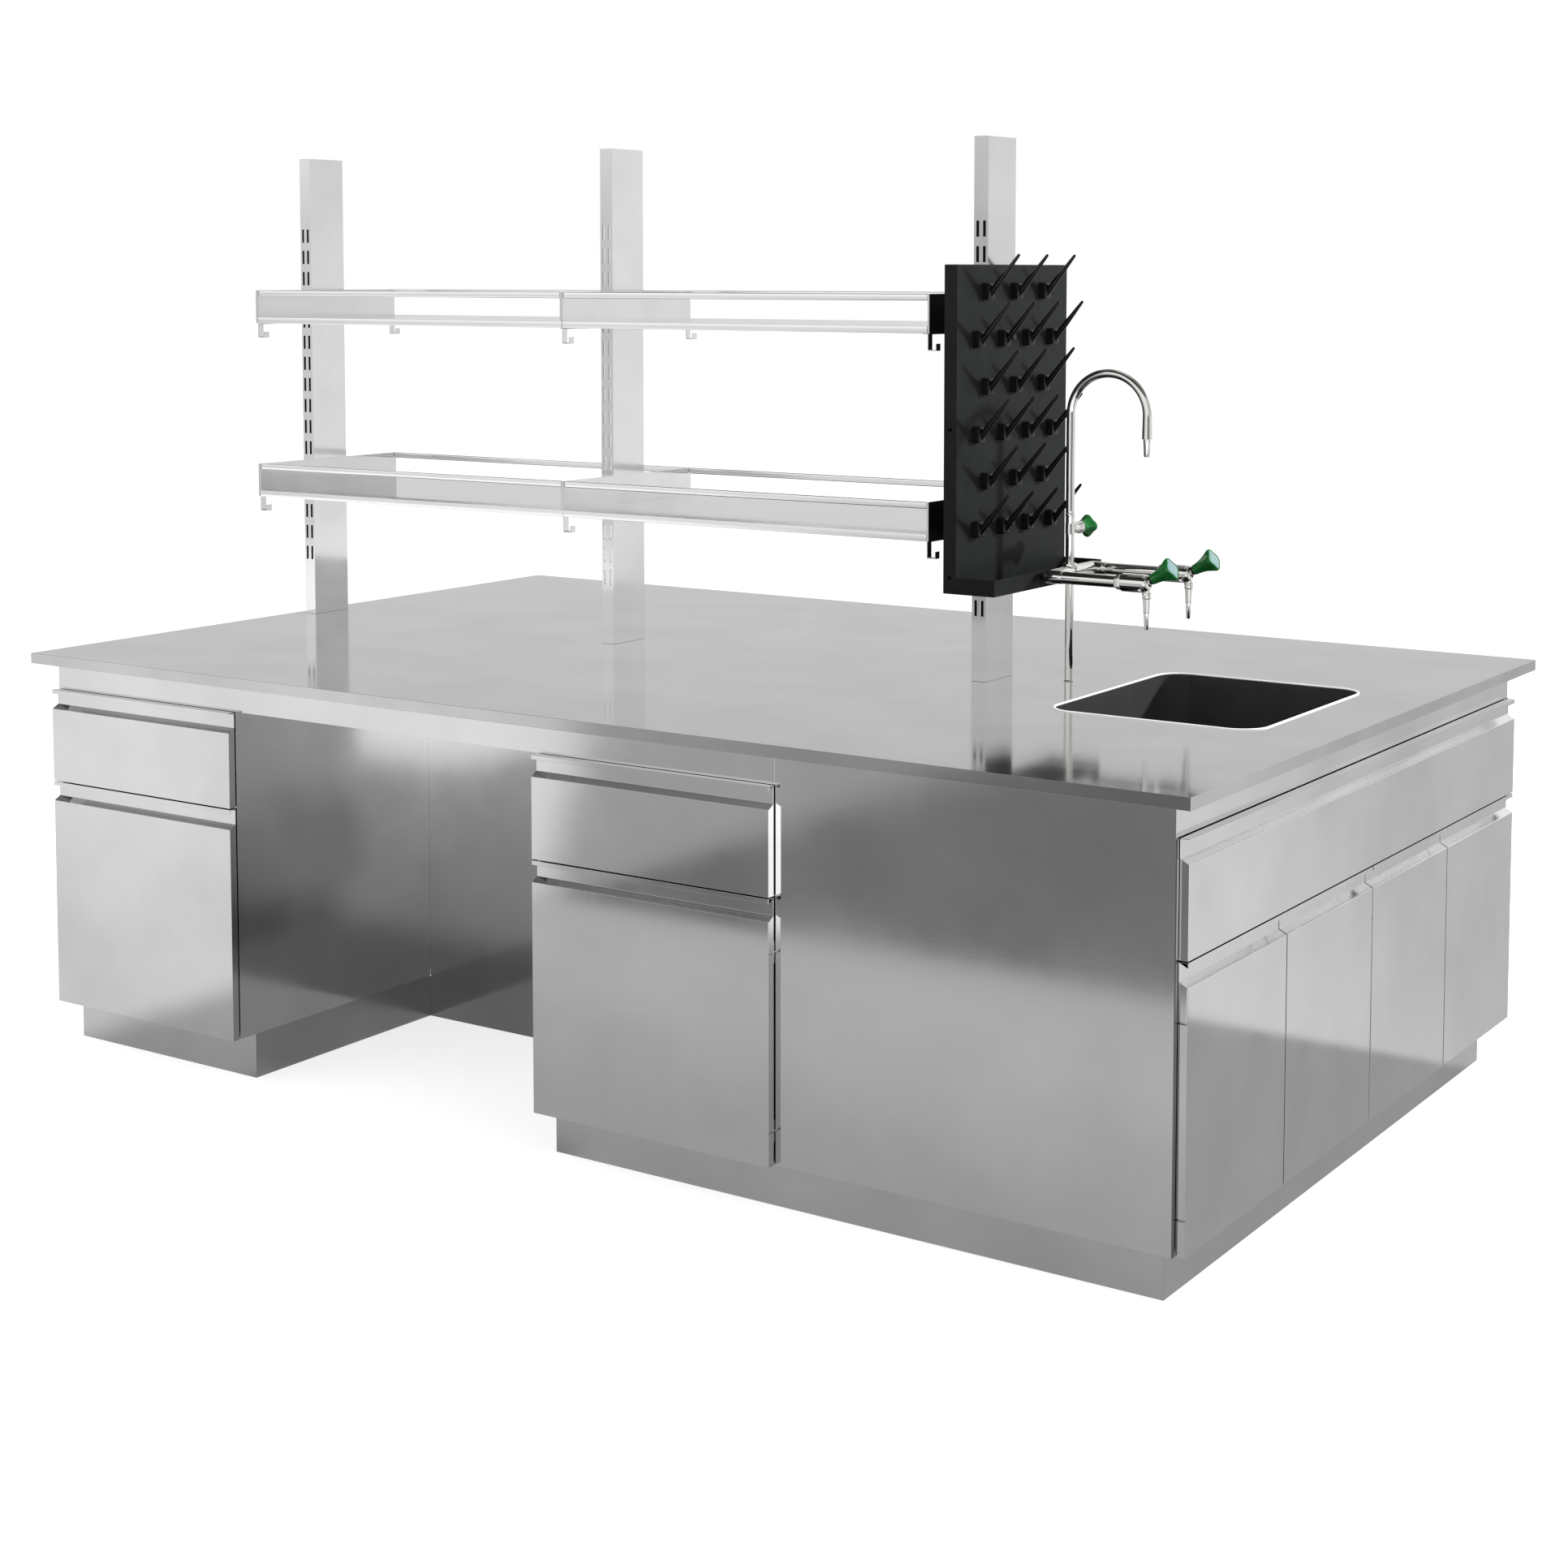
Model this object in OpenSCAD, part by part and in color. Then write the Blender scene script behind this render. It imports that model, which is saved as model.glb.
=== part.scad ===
// Double-sided stainless laboratory bench with drawer cabinets, a sink end, a reagent shelf
// on slotted columns, a peg drying rack and a three-way tap.
// Origin: on the floor under the middle of the worktop. X runs along the bench to the sink end,
// the photographed side faces -Y, and Z is up. All lengths are in millimetres.

/* [Worktop] */
// Height of the working surface above the floor
bench_h = 850; // [800:5:920]
// Height of the worktop's turned-down edge
top_edge_h = 22; // [18:1:30]
// Thickness of the worktop's stainless skin
top_skin_t = 1.2; // [1:0.1:2]
// Overhang of the worktop past the cabinet bodies, front and rear
overhang_front = 43; // [30:1:60]
// Overhang of the worktop past the body at the plain end
overhang_plain = 37; // [20:1:60]
// Overhang of the worktop past the body at the sink end
overhang_sink = 45; // [30:1:60]

/* [Cabinet bodies] */
// Width of each drawer cabinet
cabinet_w = 532; // [480:2:600]
// Depth of each drawer cabinet from front edge to back
cabinet_d = 581; // [560:1:620]
// Width of the knee space between two cabinets
knee_w = 791; // [700:1:900]
// Depth of the closed service space between the two rows
service_w = 452; // [400:2:500]
// Length of the sink unit along the bench
sink_unit_l = 763; // [700:1:860]
// Thickness of the double-skinned side panels
side_t = 28; // [22:1:36]
// Thickness of the sheet that bodies and fronts are folded from
sheet_t = 1.2; // [1:0.1:1.5]
// Thickness of the double-skinned cabinet floors
floor_t = 18; // [14:1:24]
// Thickness of the single-skin backs and covers
back_t = 1.5; // [1:0.1:2.5]
// Height of the rail between drawer and door
rail_h = 20; // [16:1:26]
// Depth of the rail between drawer and door
rail_d = 25; // [18:1:35]
// Height of the step along the foot of the knee side panels
knee_step_h = 17; // [10:1:25]
// Depth of the step along the foot of the knee side panels
knee_step = 1; // [0.4:0.1:1.1]
// Height of the strip between the worktop and the drawer fronts
apron_h = 57; // [50:1:70]
// Height by which the strip laps below the top of the drawer fronts
apron_lap = -4; // [-6:1:-3]
// Thickness of the inner shelf in each cabinet
inner_shelf_t = 16; // [12:1:22]
// Height of the inner shelf above the cabinet floor
inner_shelf_up = 210; // [180:5:260]
// Distance from the front of the body to the inner shelf
inner_shelf_back = 60; // [40:5:120]
// Play left between neighbouring panels
play = 0.3; // [0.2:0.1:0.4]

/* [Plinth and feet] */
// Height of the plinth
plinth_h = 93; // [80:1:120]
// Distance that the plinth stands back along front and rear
plinth_back = 45; // [30:1:70]
// Distance that the plinth stands back at the sink end
plinth_back_end = 33; // [20:1:60]
// Distance that the plinth stands in from the cabinet sides
plinth_in = 2; // [1:0.5:6]
// Thickness of the plinth boards
plinth_t = 1.5; // [1.2:0.1:3]
// Diameter of a levelling foot's pad
foot_d = 46; // [36:1:60]
// Thickness of a levelling foot's pad
foot_pad_h = 9; // [6:1:14]
// Diameter of a levelling foot's stem
foot_stem_d = 12; // [8:1:16]
// Height of the lock nut on a levelling foot
foot_nut_h = 8; // [6:1:12]
// Distance of the feet from the ends of their cabinet
foot_in = 90; // [70:5:120]

/* [Fronts] */
// Thickness of drawer fronts and doors
front_t = 16.5; // [15:0.5:20]
// Gap between the fronts and the body behind them
front_gap = 3; // [2.5:0.1:4]
// Gap between a drawer front and the door below it
front_split = 2.5; // [2:0.1:4]
// Height of the drawer fronts
drawer_front_h = 196; // [180:1:220]
// Height of the folded finger pull, from the lip down to the face
pull_h = 41; // [36:1:48]
// Height of the slope at the foot of the finger pull
pull_slope_h = 8.5; // [6:0.5:12]
// Height of the turned-down lip of the finger pull
lip_h = 8.5; // [6:0.5:12]
// Gap between the doors of the sink unit
door_gap = 3; // [2.5:0.1:5]
// Distance that the sink unit's fronts stop short of its corners
end_margin = 9; // [6:1:14]

/* [Hinges] */
// Distance of a hinge pin from the door's edge and from its face
hinge_in = 4; // [3.8:0.1:4.2]
// Diameter of the hinge pin
pin_d = 3; // [2.5:0.1:3.2]
// Length of the hinge pin on each side of its tongue
pin_l = 8; // [6:0.5:12]
// Radial clearance of the pin in the door
pin_play = 0.05; // [0.02:0.01:0.1]
// Thickness of the hinge tongue that carries the pin
tongue_t = 2.5; // [2:0.1:3]
// Width of the hinge tongue
tongue_w = 4; // [3.6:0.1:4.2]
// Thickness of the hinge leaf on the cabinet's edge
leaf_t = 1.5; // [1.2:0.1:1.8]
// Width of the hinge leaf
leaf_w = 15; // [12:1:18]
// Height of the hinge leaf
leaf_h = 40; // [30:1:60]
// Distance of the hinge leaf from the door's edge
leaf_in = 2; // [1:0.5:4]
// Height of the lower hinge above the door's bottom
hinge_low = 60; // [40:5:90]
// Distance of the upper hinge below the door's top
hinge_below_top = 99.5; // [95:0.5:130]
// Clearance round a hinge tongue in its notch
notch_play = 0.5; // [0.4:0.1:1]
// Half height of the filled block round a hinge notch
block_half_h = 14; // [12:1:20]
// Width of the filled block round a hinge notch
block_w = 14; // [12:1:20]

/* [Drawers] */
// Height of the drawer box
box_h = 120; // [90:5:130]
// Depth of the drawer box
box_d = 500; // [440:5:530]
// Height of the drawer box above the bottom of its front
box_up = 16; // [10:1:25]
// Width taken by the runners on each side
runner_w = 13; // [12:0.5:16]
// Height of the fixed runner channel
runner_h = 45; // [35:1:50]
// Thickness of the runner steel
runner_t = 1.5; // [1.2:0.1:2]
// Depth by which the rail reaches into the channel
slide_bite = 6; // [4:0.5:8]
// Distance of the runners above the bottom of the drawer box
runner_up = 30; // [20:1:40]

/* [Columns] */
// Height of the columns above the worktop
column_h = 1077; // [900:1:1200]
// Thickness of a column along the bench
column_t = 32; // [28:1:40]
// Width of a column across the bench
column_w = 111; // [90:1:130]
// Wall thickness of a column
column_wall = 2; // [1.5:0.1:3]
// Distance of the first column's centre from the plain end of the worktop
column_first = 45.5; // [40:0.5:80]
// Width of a slot
slot_w = 6; // [5:0.5:7]
// Height of a slot
slot_h = 31; // [26:1:34]
// Distance between the rows of slots
slot_pitch = 50; // [50:1:60]
// Number of rows of slots
slot_rows = 16; // [12:1:17]
// Distance between the two slots of a row
slot_pair = 15; // [13:0.5:16]
// Distance of the first slots below the column's top
slot_top = 165; // [120:1:180]
// Thickness of the foot plate inside the column
foot_plate_t = 6; // [4:1:10]

/* [Shelves] */
// Distance from the last column to the tap pole
column_to_tap = 142.5; // [142:0.5:160]
// Depth of the shelves over both sides of the columns
shelf_d = 458; // [400:2:500]
// Height of the lower shelf above the worktop
shelf_up = 308; // [300:1:320]
// Height of a shelf board's edge
board_h = 14; // [12:1:20]
// Width of the return lip under a shelf board
board_lip = 14; // [10:1:20]
// Height of the guard rail's top above the shelf board
guard_rise = 62; // [45:1:80]
// Height of the guard rail's section
guard_h = 13; // [10:1:16]
// Thickness of the guard rail's section
guard_t = 8; // [6:0.5:12]
// Diameter of the stub at a guard rail's end
guard_stub_d = 6; // [4:0.5:6]
// Length of the stub at a guard rail's end
guard_stub_l = 3; // [2:0.5:5]
// Thickness of the bracket plates
bracket_t = 2; // [1.5:0.1:3]
// Width of the flange on the front and rear edge of the left and middle brackets
bracket_flange = 6; // [4:0.5:10]
// Width of the seat under a shelf board's end
seat_w = 20; // [14:1:30]
// Height that the hooks reach below the shelf board
hook_drop = 33; // [25:1:40]
// Length of the hooks
hook_l = 20; // [14:1:28]
// Width of the hook straps
hook_w = 16; // [10:1:24]
// Height of the hook's upturned end
hook_up = 14; // [8:1:18]
// Length of a bracket's tab over the column's face
tab_l = 17; // [15:1:18]
// Thickness of a bracket's tab
tab_t = 2.5; // [2:0.5:3]
// Depth of the tongue in the column's slot
tongue_in = 6; // [4:0.5:8]
// Play of the tongue in its slot
tongue_play = 0.5; // [0.3:0.1:1]

/* [Peg drying rack] */
// Width of the pegboard
peg_panel_w = 448; // [400:2:500]
// Height of the pegboard
peg_panel_h = 631; // [560:1:700]
// Depth of the pegboard's side flanges
peg_panel_d = 28; // [20:1:40]
// Wall thickness of the pegboard
peg_wall = 3; // [2.5:0.1:4]
// Height of the pegboard's bottom above the worktop
peg_panel_up = 195; // [150:1:260]
// Distance that the drip tray reaches out from the panel
tray_reach = 84.5; // [70:0.5:86]
// Height of the drip tray's outer wall
tray_h = 32; // [24:1:45]
// Height of the top row of pegs above the pegboard's bottom
peg_top = 582; // [500:1:590]
// Distance between the rows of pegs
peg_row = 92; // [80:1:100]
// Number of rows of pegs
peg_rows = 6; // [4:1:6]
// Distance between pegs in a row of three
peg_wide = 115; // [100:1:120]
// Distance between pegs in a row of four
peg_narrow = 100; // [90:1:105]
// Diameter of a peg's collar
collar_d = 26; // [20:1:30]
// Length of a peg's collar
collar_l = 16; // [10:1:22]
// Distance that a peg reaches out from the panel
peg_reach = 74; // [50:1:76]
// Diameter of a peg at its foot
peg_foot_d = 13; // [10:0.5:16]
// Diameter of a peg at its tip
peg_tip_d = 7; // [5:0.5:9]
// Diameter of the rack's fixing screw holes
rack_hole_d = 8; // [6:0.5:10]

/* [Sink] */
// Length of the sink cut-out along the bench
sink_l = 421; // [380:1:450]
// Width of the sink cut-out across the bench
sink_w = 532; // [400:1:600]
// Corner radius of the cut-out
sink_r = 55; // [30:1:70]
// Distance of the cut-out from the sink end of the worktop
sink_end = 147; // [140:1:160]
// Depth of the bowl below the worktop
sink_depth = 230; // [180:5:280]
// Wall thickness of the bowl
bowl_t = 4; // [3:0.5:6]
// Width of the bowl's flange under the worktop
bowl_flange = 22; // [16:1:30]
// Diameter of the drain hole in the bowl
drain_d = 52; // [44:1:60]
// Diameter of the waste's flange
waste_flange_d = 84; // [70:1:95]
// Diameter of the waste pipe
waste_pipe_d = 40; // [32:1:50]
// Wall thickness of the waste pipe
waste_wall = 2.5; // [2:0.1:4]
// Height of the couplings on the waste and supply pipes above the floor
coupling_up = 62; // [50:1:66]
// Height of the couplings
coupling_h = 16; // [12:1:20]
// Diameter of the trap's bottle
trap_d = 76; // [60:1:90]
// Height of the trap's bottle
trap_h = 130; // [100:5:170]

/* [Tap] */
// Distance of the tap pole from the sink cut-out
tap_off = 118; // [115:1:125]
// Distance of the tap pole from the bench's centre line
tap_y = 57; // [45:1:70]
// Diameter of the pole and the swan neck
pole_d = 17.5; // [14:0.5:18]
// Wall thickness of the pole
pole_wall = 2; // [1.5:0.1:3]
// Height of the manifold's centre above the worktop
manifold_up = 218; // [200:1:240]
// Diameter of the manifold and of the arms
arm_d = 26; // [20:1:30]
// Distance of the manifold in front of the pole
manifold_out = 2; // [1:0.5:3]
// Distance from the pole's centre line to each arm
arm_off = 94; // [75:1:100]
// Distance of the arms' outlets from the pole
arm_reach = 210; // [180:1:240]
// Diameter of the valve bodies
valve_d = 36; // [30:1:40]
// Length of the valve bodies
valve_l = 47; // [40:1:60]
// Upward tilt of the arm handles
handle_tilt = 30; // [10:1:45]
// Length of a handle
handle_l = 45; // [38:1:55]
// Diameter of a handle's free end
handle_d = 42; // [34:1:46]
// Diameter of a handle's neck
handle_neck_d = 20; // [17:1:24]
// Length of the short handle behind the pole
short_handle_l = 30; // [24:1:40]
// Height of the swivel joint above the worktop
swivel_up = 335; // [325:1:400]
// Height of the swan neck's centre line at the top of its bow
neck_top = 614; // [560:1:700]
// Radius of the swan neck's bow
neck_r = 83; // [60:1:100]
// Height of the swan neck's outlet above the worktop
outlet_up = 453; // [430:1:500]
// Length of the hose nozzle under the swan neck
neck_nozzle_l = 35; // [25:1:45]
// Length of the hose nozzles under the arms
nozzle_l = 61; // [50:1:70]
// Diameter of a nozzle's collar
nozzle_collar_d = 21; // [19:1:24]
// Diameter of a nozzle at its foot
nozzle_d = 17; // [14:0.5:18]
// Diameter of a nozzle at its tip
nozzle_tip_d = 8; // [6:0.5:10]
// Height of the third valve above the worktop
rear_valve_up = 304; // [290:1:310]
// Diameter of the third valve's body
rear_valve_d = 26; // [22:1:28]
// Reach of the third valve's body behind the pole
rear_valve_l = 42; // [36:1:50]
// Diameter of the supply pipe
supply_d = 15; // [12:0.5:16]

/* [Hidden] */
$fn = 48;

steel = "#c9cbcc";
dark_steel = "#8f9294";
chrome = "#dcdee0";
black_plastic = "#2b2d2f";
green_plastic = "#1f7f37";
board_brown = "#8a6a48";

// One overrun serves every cut
over = 1;
half = 0.5;

// Levels above the floor
case_top = bench_h - top_edge_h;
drawer_z = case_top - apron_h - drawer_front_h;
door_h = drawer_z - front_split - plinth_h;
hinge_high = door_h - hinge_below_top;
rail_z = drawer_z - rail_h - front_split;
apron_z = case_top - apron_h - apron_lap;

// Plan of the bodies
body_y = service_w * half + cabinet_d;
top_l = overhang_plain + 2 * cabinet_w + knee_w + sink_unit_l + overhang_sink;
top_w = 2 * (body_y + overhang_front);
body_x0 = -top_l * half + overhang_plain;
knee_x0 = body_x0 + cabinet_w;
knee_x1 = knee_x0 + knee_w;
sink_x0 = knee_x1 + cabinet_w;
body_x1 = sink_x0 + sink_unit_l;
front_out = front_t + front_gap;

// Tap
sink_x1 = top_l * half - sink_end;
tap_x = sink_x1 - sink_l - tap_off;

// Columns and shelves: the last column stands by the tap, the middle one halfway
column_x0 = -top_l * half + column_first;
column_x2 = tap_x - column_to_tap;
column_xs = [column_x0, (column_x0 + column_x2 - column_t) * half, column_x2];
shelf_tops = [bench_h + shelf_up, bench_h + shelf_up + 8 * slot_pitch];
slot_z0 = bench_h + column_h - slot_top - slot_h;
foot_bolt_d = 10;
foot_bolt_off = 34;
foot_bolt_head_d = 16;
cap_t = 2;

// Sink
sink_mid = sink_x1 - sink_l * half;
bowl_floor = case_top - sink_depth;
waste_flange_t = 3;
waste_nut_d = 70;
waste_nut_h = 14;
waste_drop = 45;
trap_z = bowl_floor - waste_drop - trap_h * 2;
drain_x = sink_x0 + side_t + 2 * waste_pipe_d;
clip_w = 24;
clip_t = 4;

// Tap parts
manifold_z = bench_h + manifold_up;
manifold_x = tap_x + manifold_out;
outlet_x = tap_x + arm_reach;
arm_ys = [tap_y - arm_off, tap_y + arm_off];
rosette_d = 34;
rosette_h = 3;
hub_d = 25;
hub_h = 34;
shank_nut_d = 36;
shank_nut_h = 12;
shank_l = 60;
swivel_ring_d = 20;
swivel_ring_h = 10;
bonnet_l = 16;
bonnet_d = 18;
stem_d = 6;
stem_l = 12;
running_play = 0.05;
cap_disc_t = 2;
union_d = 31;
union_l = 14;
tee_l = 34;
nozzle_off = 4;
nozzle_collar_h = 9;

// Pegboard
rack_x0 = column_xs[2] + column_t * half;
rack_x1 = rack_x0 + peg_panel_d;
rack_z0 = bench_h + peg_panel_up;
rib_h = 40;
rib_w = 100;
peg_seat = 7;
screw_d = 6;
screw_head_d = 12;
screw_head_h = 3;
edge_chamfer = 1;
peg_pin_d = 6;
peg_pin_l = 9;
rack_hole_rise = 30;

// A straight block between two corners
module block(low, high) {
    translate(low) cube(high - low);
}

// A closed double-skinned panel, hollow inside
module hollow(low, high, skin = sheet_t) {
    difference() {
        block(low, high);
        block(low + [skin, skin, skin], high - [skin, skin, skin]);
    }
}

// An outline with rounded corners, made of four discs' hull drawn as plain shapes
module rounded(l, w, r) {
    square([l - 2 * r, w], center = true);
    square([l, w - 2 * r], center = true);
    for (sx = [-1, 1], sy = [-1, 1])
        translate([sx * (l * half - r), sy * (w * half - r)]) circle(r = r, $fn = 64);
}

// A rod between heights z0 and z1
module rod(x, y, z0, z1, d) {
    translate([x, y, z0]) cylinder(h = z1 - z0, d = d);
}

// Puts a cabinet drawn from its left front corner in one of the four places.
// Mirroring across the bench gives the rear row.
module at_cabinet(x, rear) {
    mirror([0, rear ? 1 : 0, 0]) translate([x, -body_y, 0]) children();
}

// Puts a front drawn facing -Y in the face of the sink end
module at_sink_end(y) {
    translate([body_x1 + front_out, y, 0]) rotate([0, 0, 90]) children();
}

// Outline of a front: depth behind the face against height
function front_outline(h, in) = [
    [in, in],
    [in, h - pull_h - in * half],
    [front_t - max(in, sheet_t), h - pull_h + pull_slope_h - 2 * in],
    [front_t - in, h - pull_h + pull_slope_h - 2 * in],
    [front_t - in, in]
];

// Folded front with a finger pull: face, slope, back strip, lip and turned-down edge.
// The face lies at y = 0 and the front runs from x = 0 to w.
module folded_front(w, h) {
    difference() {
        union() {
            extrude_front(w, front_outline(h, 0));
            block([0, front_t - sheet_t, h - pull_h], [w, front_t, h]);
            block([0, 0, h - sheet_t], [w, front_t, h]);
            block([0, 0, h - lip_h], [w, sheet_t, h]);
        }
        translate([sheet_t, 0, 0]) extrude_front(w - 2 * sheet_t, front_outline(h, sheet_t));
    }
}

// Runs an outline of depth against height along X
module extrude_front(w, outline) {
    multmatrix([[0, 0, 1, 0], [1, 0, 0, 0], [0, 1, 0, 0], [0, 0, 0, 1]])
        linear_extrude(height = w) polygon(outline);
}

// Door leaf with a chamfer, hinge notches and pin bores on the edge at x = 0
module hinged_front(w, h) {
    difference() {
        union() {
            folded_front(w, h);
            for (z = [hinge_low, hinge_high])
                block([0, 0, z - block_half_h], [block_w, front_t, z + block_half_h]);
        }
        for (z = [hinge_low, hinge_high]) {
            block([-over, hinge_in - tongue_w * half - 2 * notch_play, z - notch_play],
                [hinge_in + tongue_w * half + notch_play, front_t + over,
                    z + tongue_t + notch_play]);
            rod(hinge_in, hinge_in, z - pin_l - notch_play, z + tongue_t + pin_l + notch_play,
                pin_d + 2 * pin_play);
        }
        translate([0, 0, -over]) linear_extrude(height = h + 2 * over) polygon([
            [-over, -over], [edge_chamfer + over, -over], [-over, edge_chamfer + over]]);
    }
}

// Hinge leaf, tongue and pin, fixed to the edge of the body behind the door
module hinge_bracket(z) {
    block([leaf_in, front_out - leaf_t, z + tongue_t * half - leaf_h * half],
        [leaf_in + leaf_w, front_out, z + tongue_t * half + leaf_h * half]);
    block([hinge_in - tongue_w * half, hinge_in, z],
        [hinge_in + tongue_w * half, front_out - leaf_t * half, z + tongue_t]);
    rod(hinge_in, hinge_in, z, z + tongue_t, tongue_w);
    rod(hinge_in, hinge_in, z - pin_l, z + tongue_t + pin_l, pin_d);
}

// Worktop: a folded stainless skin over a board core
module sink_cut(z0, z1, grow = 0) {
    translate([sink_mid, 0, z0]) linear_extrude(height = z1 - z0)
        rounded(sink_l + 2 * grow, sink_w + 2 * grow, sink_r + grow);
}

module tap_hole(z0, z1) {
    rod(tap_x, tap_y, z0, z1, pole_d + 2 * play);
}

module column_holes(z0, z1, d) {
    for (x = column_xs, s = [-1, 1]) rod(x, s * foot_bolt_off, z0, z1, d);
}

module worktop_skin() color(steel) difference() {
    block([-top_l * half, -top_w * half, case_top], [top_l * half, top_w * half, bench_h]);
    difference() {
        block([-top_l * half + top_skin_t, -top_w * half + top_skin_t, case_top - over],
            [top_l * half - top_skin_t, top_w * half - top_skin_t, bench_h - top_skin_t]);
        sink_cut(case_top, bench_h, top_skin_t);
    }
    sink_cut(case_top - over, bench_h + over);
    tap_hole(case_top - over, bench_h + over);
    column_holes(case_top - over, bench_h + over, foot_bolt_d);
}

module worktop_core() color(board_brown) difference() {
    block([-top_l * half + top_skin_t, -top_w * half + top_skin_t, case_top],
        [top_l * half - top_skin_t, top_w * half - top_skin_t, bench_h - top_skin_t]);
    sink_cut(case_top - over, bench_h, top_skin_t);
    tap_hole(case_top - over, bench_h);
    column_holes(case_top - over, bench_h, foot_bolt_d);
}

// Black bowl under the cut-out, with its flange against the worktop
module sink_bowl() color(black_plastic) difference() {
    union() {
        sink_cut(bowl_floor - bowl_t, case_top, bowl_t);
        sink_cut(case_top - bowl_t, case_top, bowl_flange);
    }
    sink_cut(bowl_floor, case_top + over);
    rod(sink_mid, 0, bowl_floor - bowl_t - over, bowl_floor + over, drain_d);
}

module sink_waste() color(chrome) difference() {
    union() {
        rod(sink_mid, 0, bowl_floor, bowl_floor + waste_flange_t, waste_flange_d);
        rod(sink_mid, 0, bowl_floor - waste_drop, bowl_floor + waste_flange_t,
            drain_d - 2 * play);
        rod(sink_mid, 0, bowl_floor - bowl_t - waste_nut_h, bowl_floor - bowl_t, waste_nut_d);
    }
    rod(sink_mid, 0, bowl_floor - waste_drop - over, bowl_floor, waste_pipe_d);
    for (a = [0:60:300])
        rotate_about(sink_mid, a) rod(waste_pipe_d * half * half, 0, bowl_floor - over,
            bowl_floor + waste_flange_t + over, waste_flange_t * 3);
}

module rotate_about(x, a) {
    translate([x, 0, 0]) rotate([0, 0, a]) children();
}

// Bottle trap on the waste and its pipe to the floor
module sink_trap() color(black_plastic) difference() {
    union() {
        rod(sink_mid, 0, trap_z + trap_h, bowl_floor - waste_drop, waste_pipe_d);
        rod(sink_mid, 0, trap_z, trap_z + trap_h, trap_d);
        along_x(drain_x, sink_mid, 0, trap_z + trap_h - waste_pipe_d, waste_pipe_d);
        translate([drain_x, 0, trap_z + trap_h - waste_pipe_d]) sphere(d = waste_pipe_d);
        rod(drain_x, 0, 0, trap_z + trap_h - waste_pipe_d, waste_pipe_d);
        rod(drain_x, 0, coupling_up, coupling_up + coupling_h, waste_pipe_d + 4 * waste_wall);
    }
    rod(sink_mid, 0, trap_z + waste_wall, bowl_floor - waste_drop + over,
        waste_pipe_d - 2 * waste_wall);
    along_x(drain_x, sink_mid, 0, trap_z + trap_h - waste_pipe_d,
        waste_pipe_d - 2 * waste_wall);
    rod(drain_x, 0, -over, trap_z + trap_h - waste_pipe_d, waste_pipe_d - 2 * waste_wall);
}

module along_x(x0, x1, y, z, d) {
    translate([x0, y, z]) rotate([0, 90, 0]) cylinder(h = x1 - x0, d = d);
}

module along_y(x, y0, y1, z, d) {
    translate([x, y0, z]) rotate([-90, 0, 0]) cylinder(h = y1 - y0, d = d);
}

// Slotted box column
module column(x) color(steel) difference() {
    block([x - column_t * half, -column_w * half, bench_h],
        [x + column_t * half, column_w * half, bench_h + column_h]);
    block([x - column_t * half + column_wall, -column_w * half + column_wall, bench_h - over],
        [x + column_t * half - column_wall, column_w * half - column_wall,
            bench_h + column_h + over]);
    for (row = [0:slot_rows - 1], side = [-1, 1], pair = [-1, 1])
        translate([x + pair * slot_pair * half, side * (column_w * half - column_wall * half),
            slot_z0 - row * slot_pitch + slot_h * half])
            cube([slot_w, column_wall + over, slot_h], center = true);
}

module column_left() column(column_xs[0]);
module column_middle() column(column_xs[1]);
module column_right() difference() {
    column(column_xs[2]);
    for (z = rack_ribs())
        along_x(rack_x0 - column_wall - over, rack_x0 + over, 0, z + rib_h * half,
            screw_d + 2 * play);
}

// Caps let into the tops of the columns
module column_caps() color(dark_steel) for (x = column_xs)
    block([x - column_t * half + column_wall + play, -column_w * half + column_wall + play,
            bench_h + column_h - cap_t],
        [x + column_t * half - column_wall - play, column_w * half - column_wall - play,
            bench_h + column_h]);

// Foot plate in each column with the two bolts that hold it through the worktop
module column_feet() color(dark_steel) for (x = column_xs) {
    block([x - column_t * half + column_wall + play, -column_w * half + column_wall + play,
            bench_h],
        [x + column_t * half - column_wall - play, column_w * half - column_wall - play,
            bench_h + foot_plate_t]);
    for (s = [-1, 1]) {
        rod(x, s * foot_bolt_off, case_top - foot_plate_t, bench_h + foot_plate_t,
            foot_bolt_d - 2 * play);
        rod(x, s * foot_bolt_off, case_top - foot_plate_t, case_top, foot_bolt_head_d);
    }
}

// Shelf board: a folded tray, open below between its return lips
module shelf_board(x0, x1, top) color(steel) difference() {
    block([x0, -shelf_d * half, top - board_h], [x1, shelf_d * half, top]);
    block([x0 + sheet_t, -shelf_d * half + sheet_t, top - board_h + sheet_t],
        [x1 - sheet_t, shelf_d * half - sheet_t, top - sheet_t]);
    block([x0 + board_lip, -shelf_d * half + board_lip, top - board_h - over],
        [x1 - board_lip, shelf_d * half - board_lip, top - board_h * half]);
}

function shelf_starts(bay) = column_xs[bay] + column_t * half + bracket_t + play;

// The left shelves reach round the middle column, and the right shelves stop at the last one
module left_shelf(top) difference() {
    shelf_board(shelf_starts(0), column_xs[1] + column_t * half - play, top);
    color(steel) block([column_xs[1] - column_t * half - tongue_play,
            -column_w * half - tab_t - tongue_play, top - board_h - over],
        [column_xs[1] + column_t * half + over, column_w * half + tab_t + tongue_play,
            top + over]);
    for (s = [0, 1]) mirror([0, s, 0])
        block([column_xs[1] + column_t * half - bracket_flange - play,
                -shelf_d * half - over, top - board_h - over],
            [column_xs[1] + column_t * half + over, -shelf_d * half + bracket_t + play,
                top + over]);
}

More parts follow.
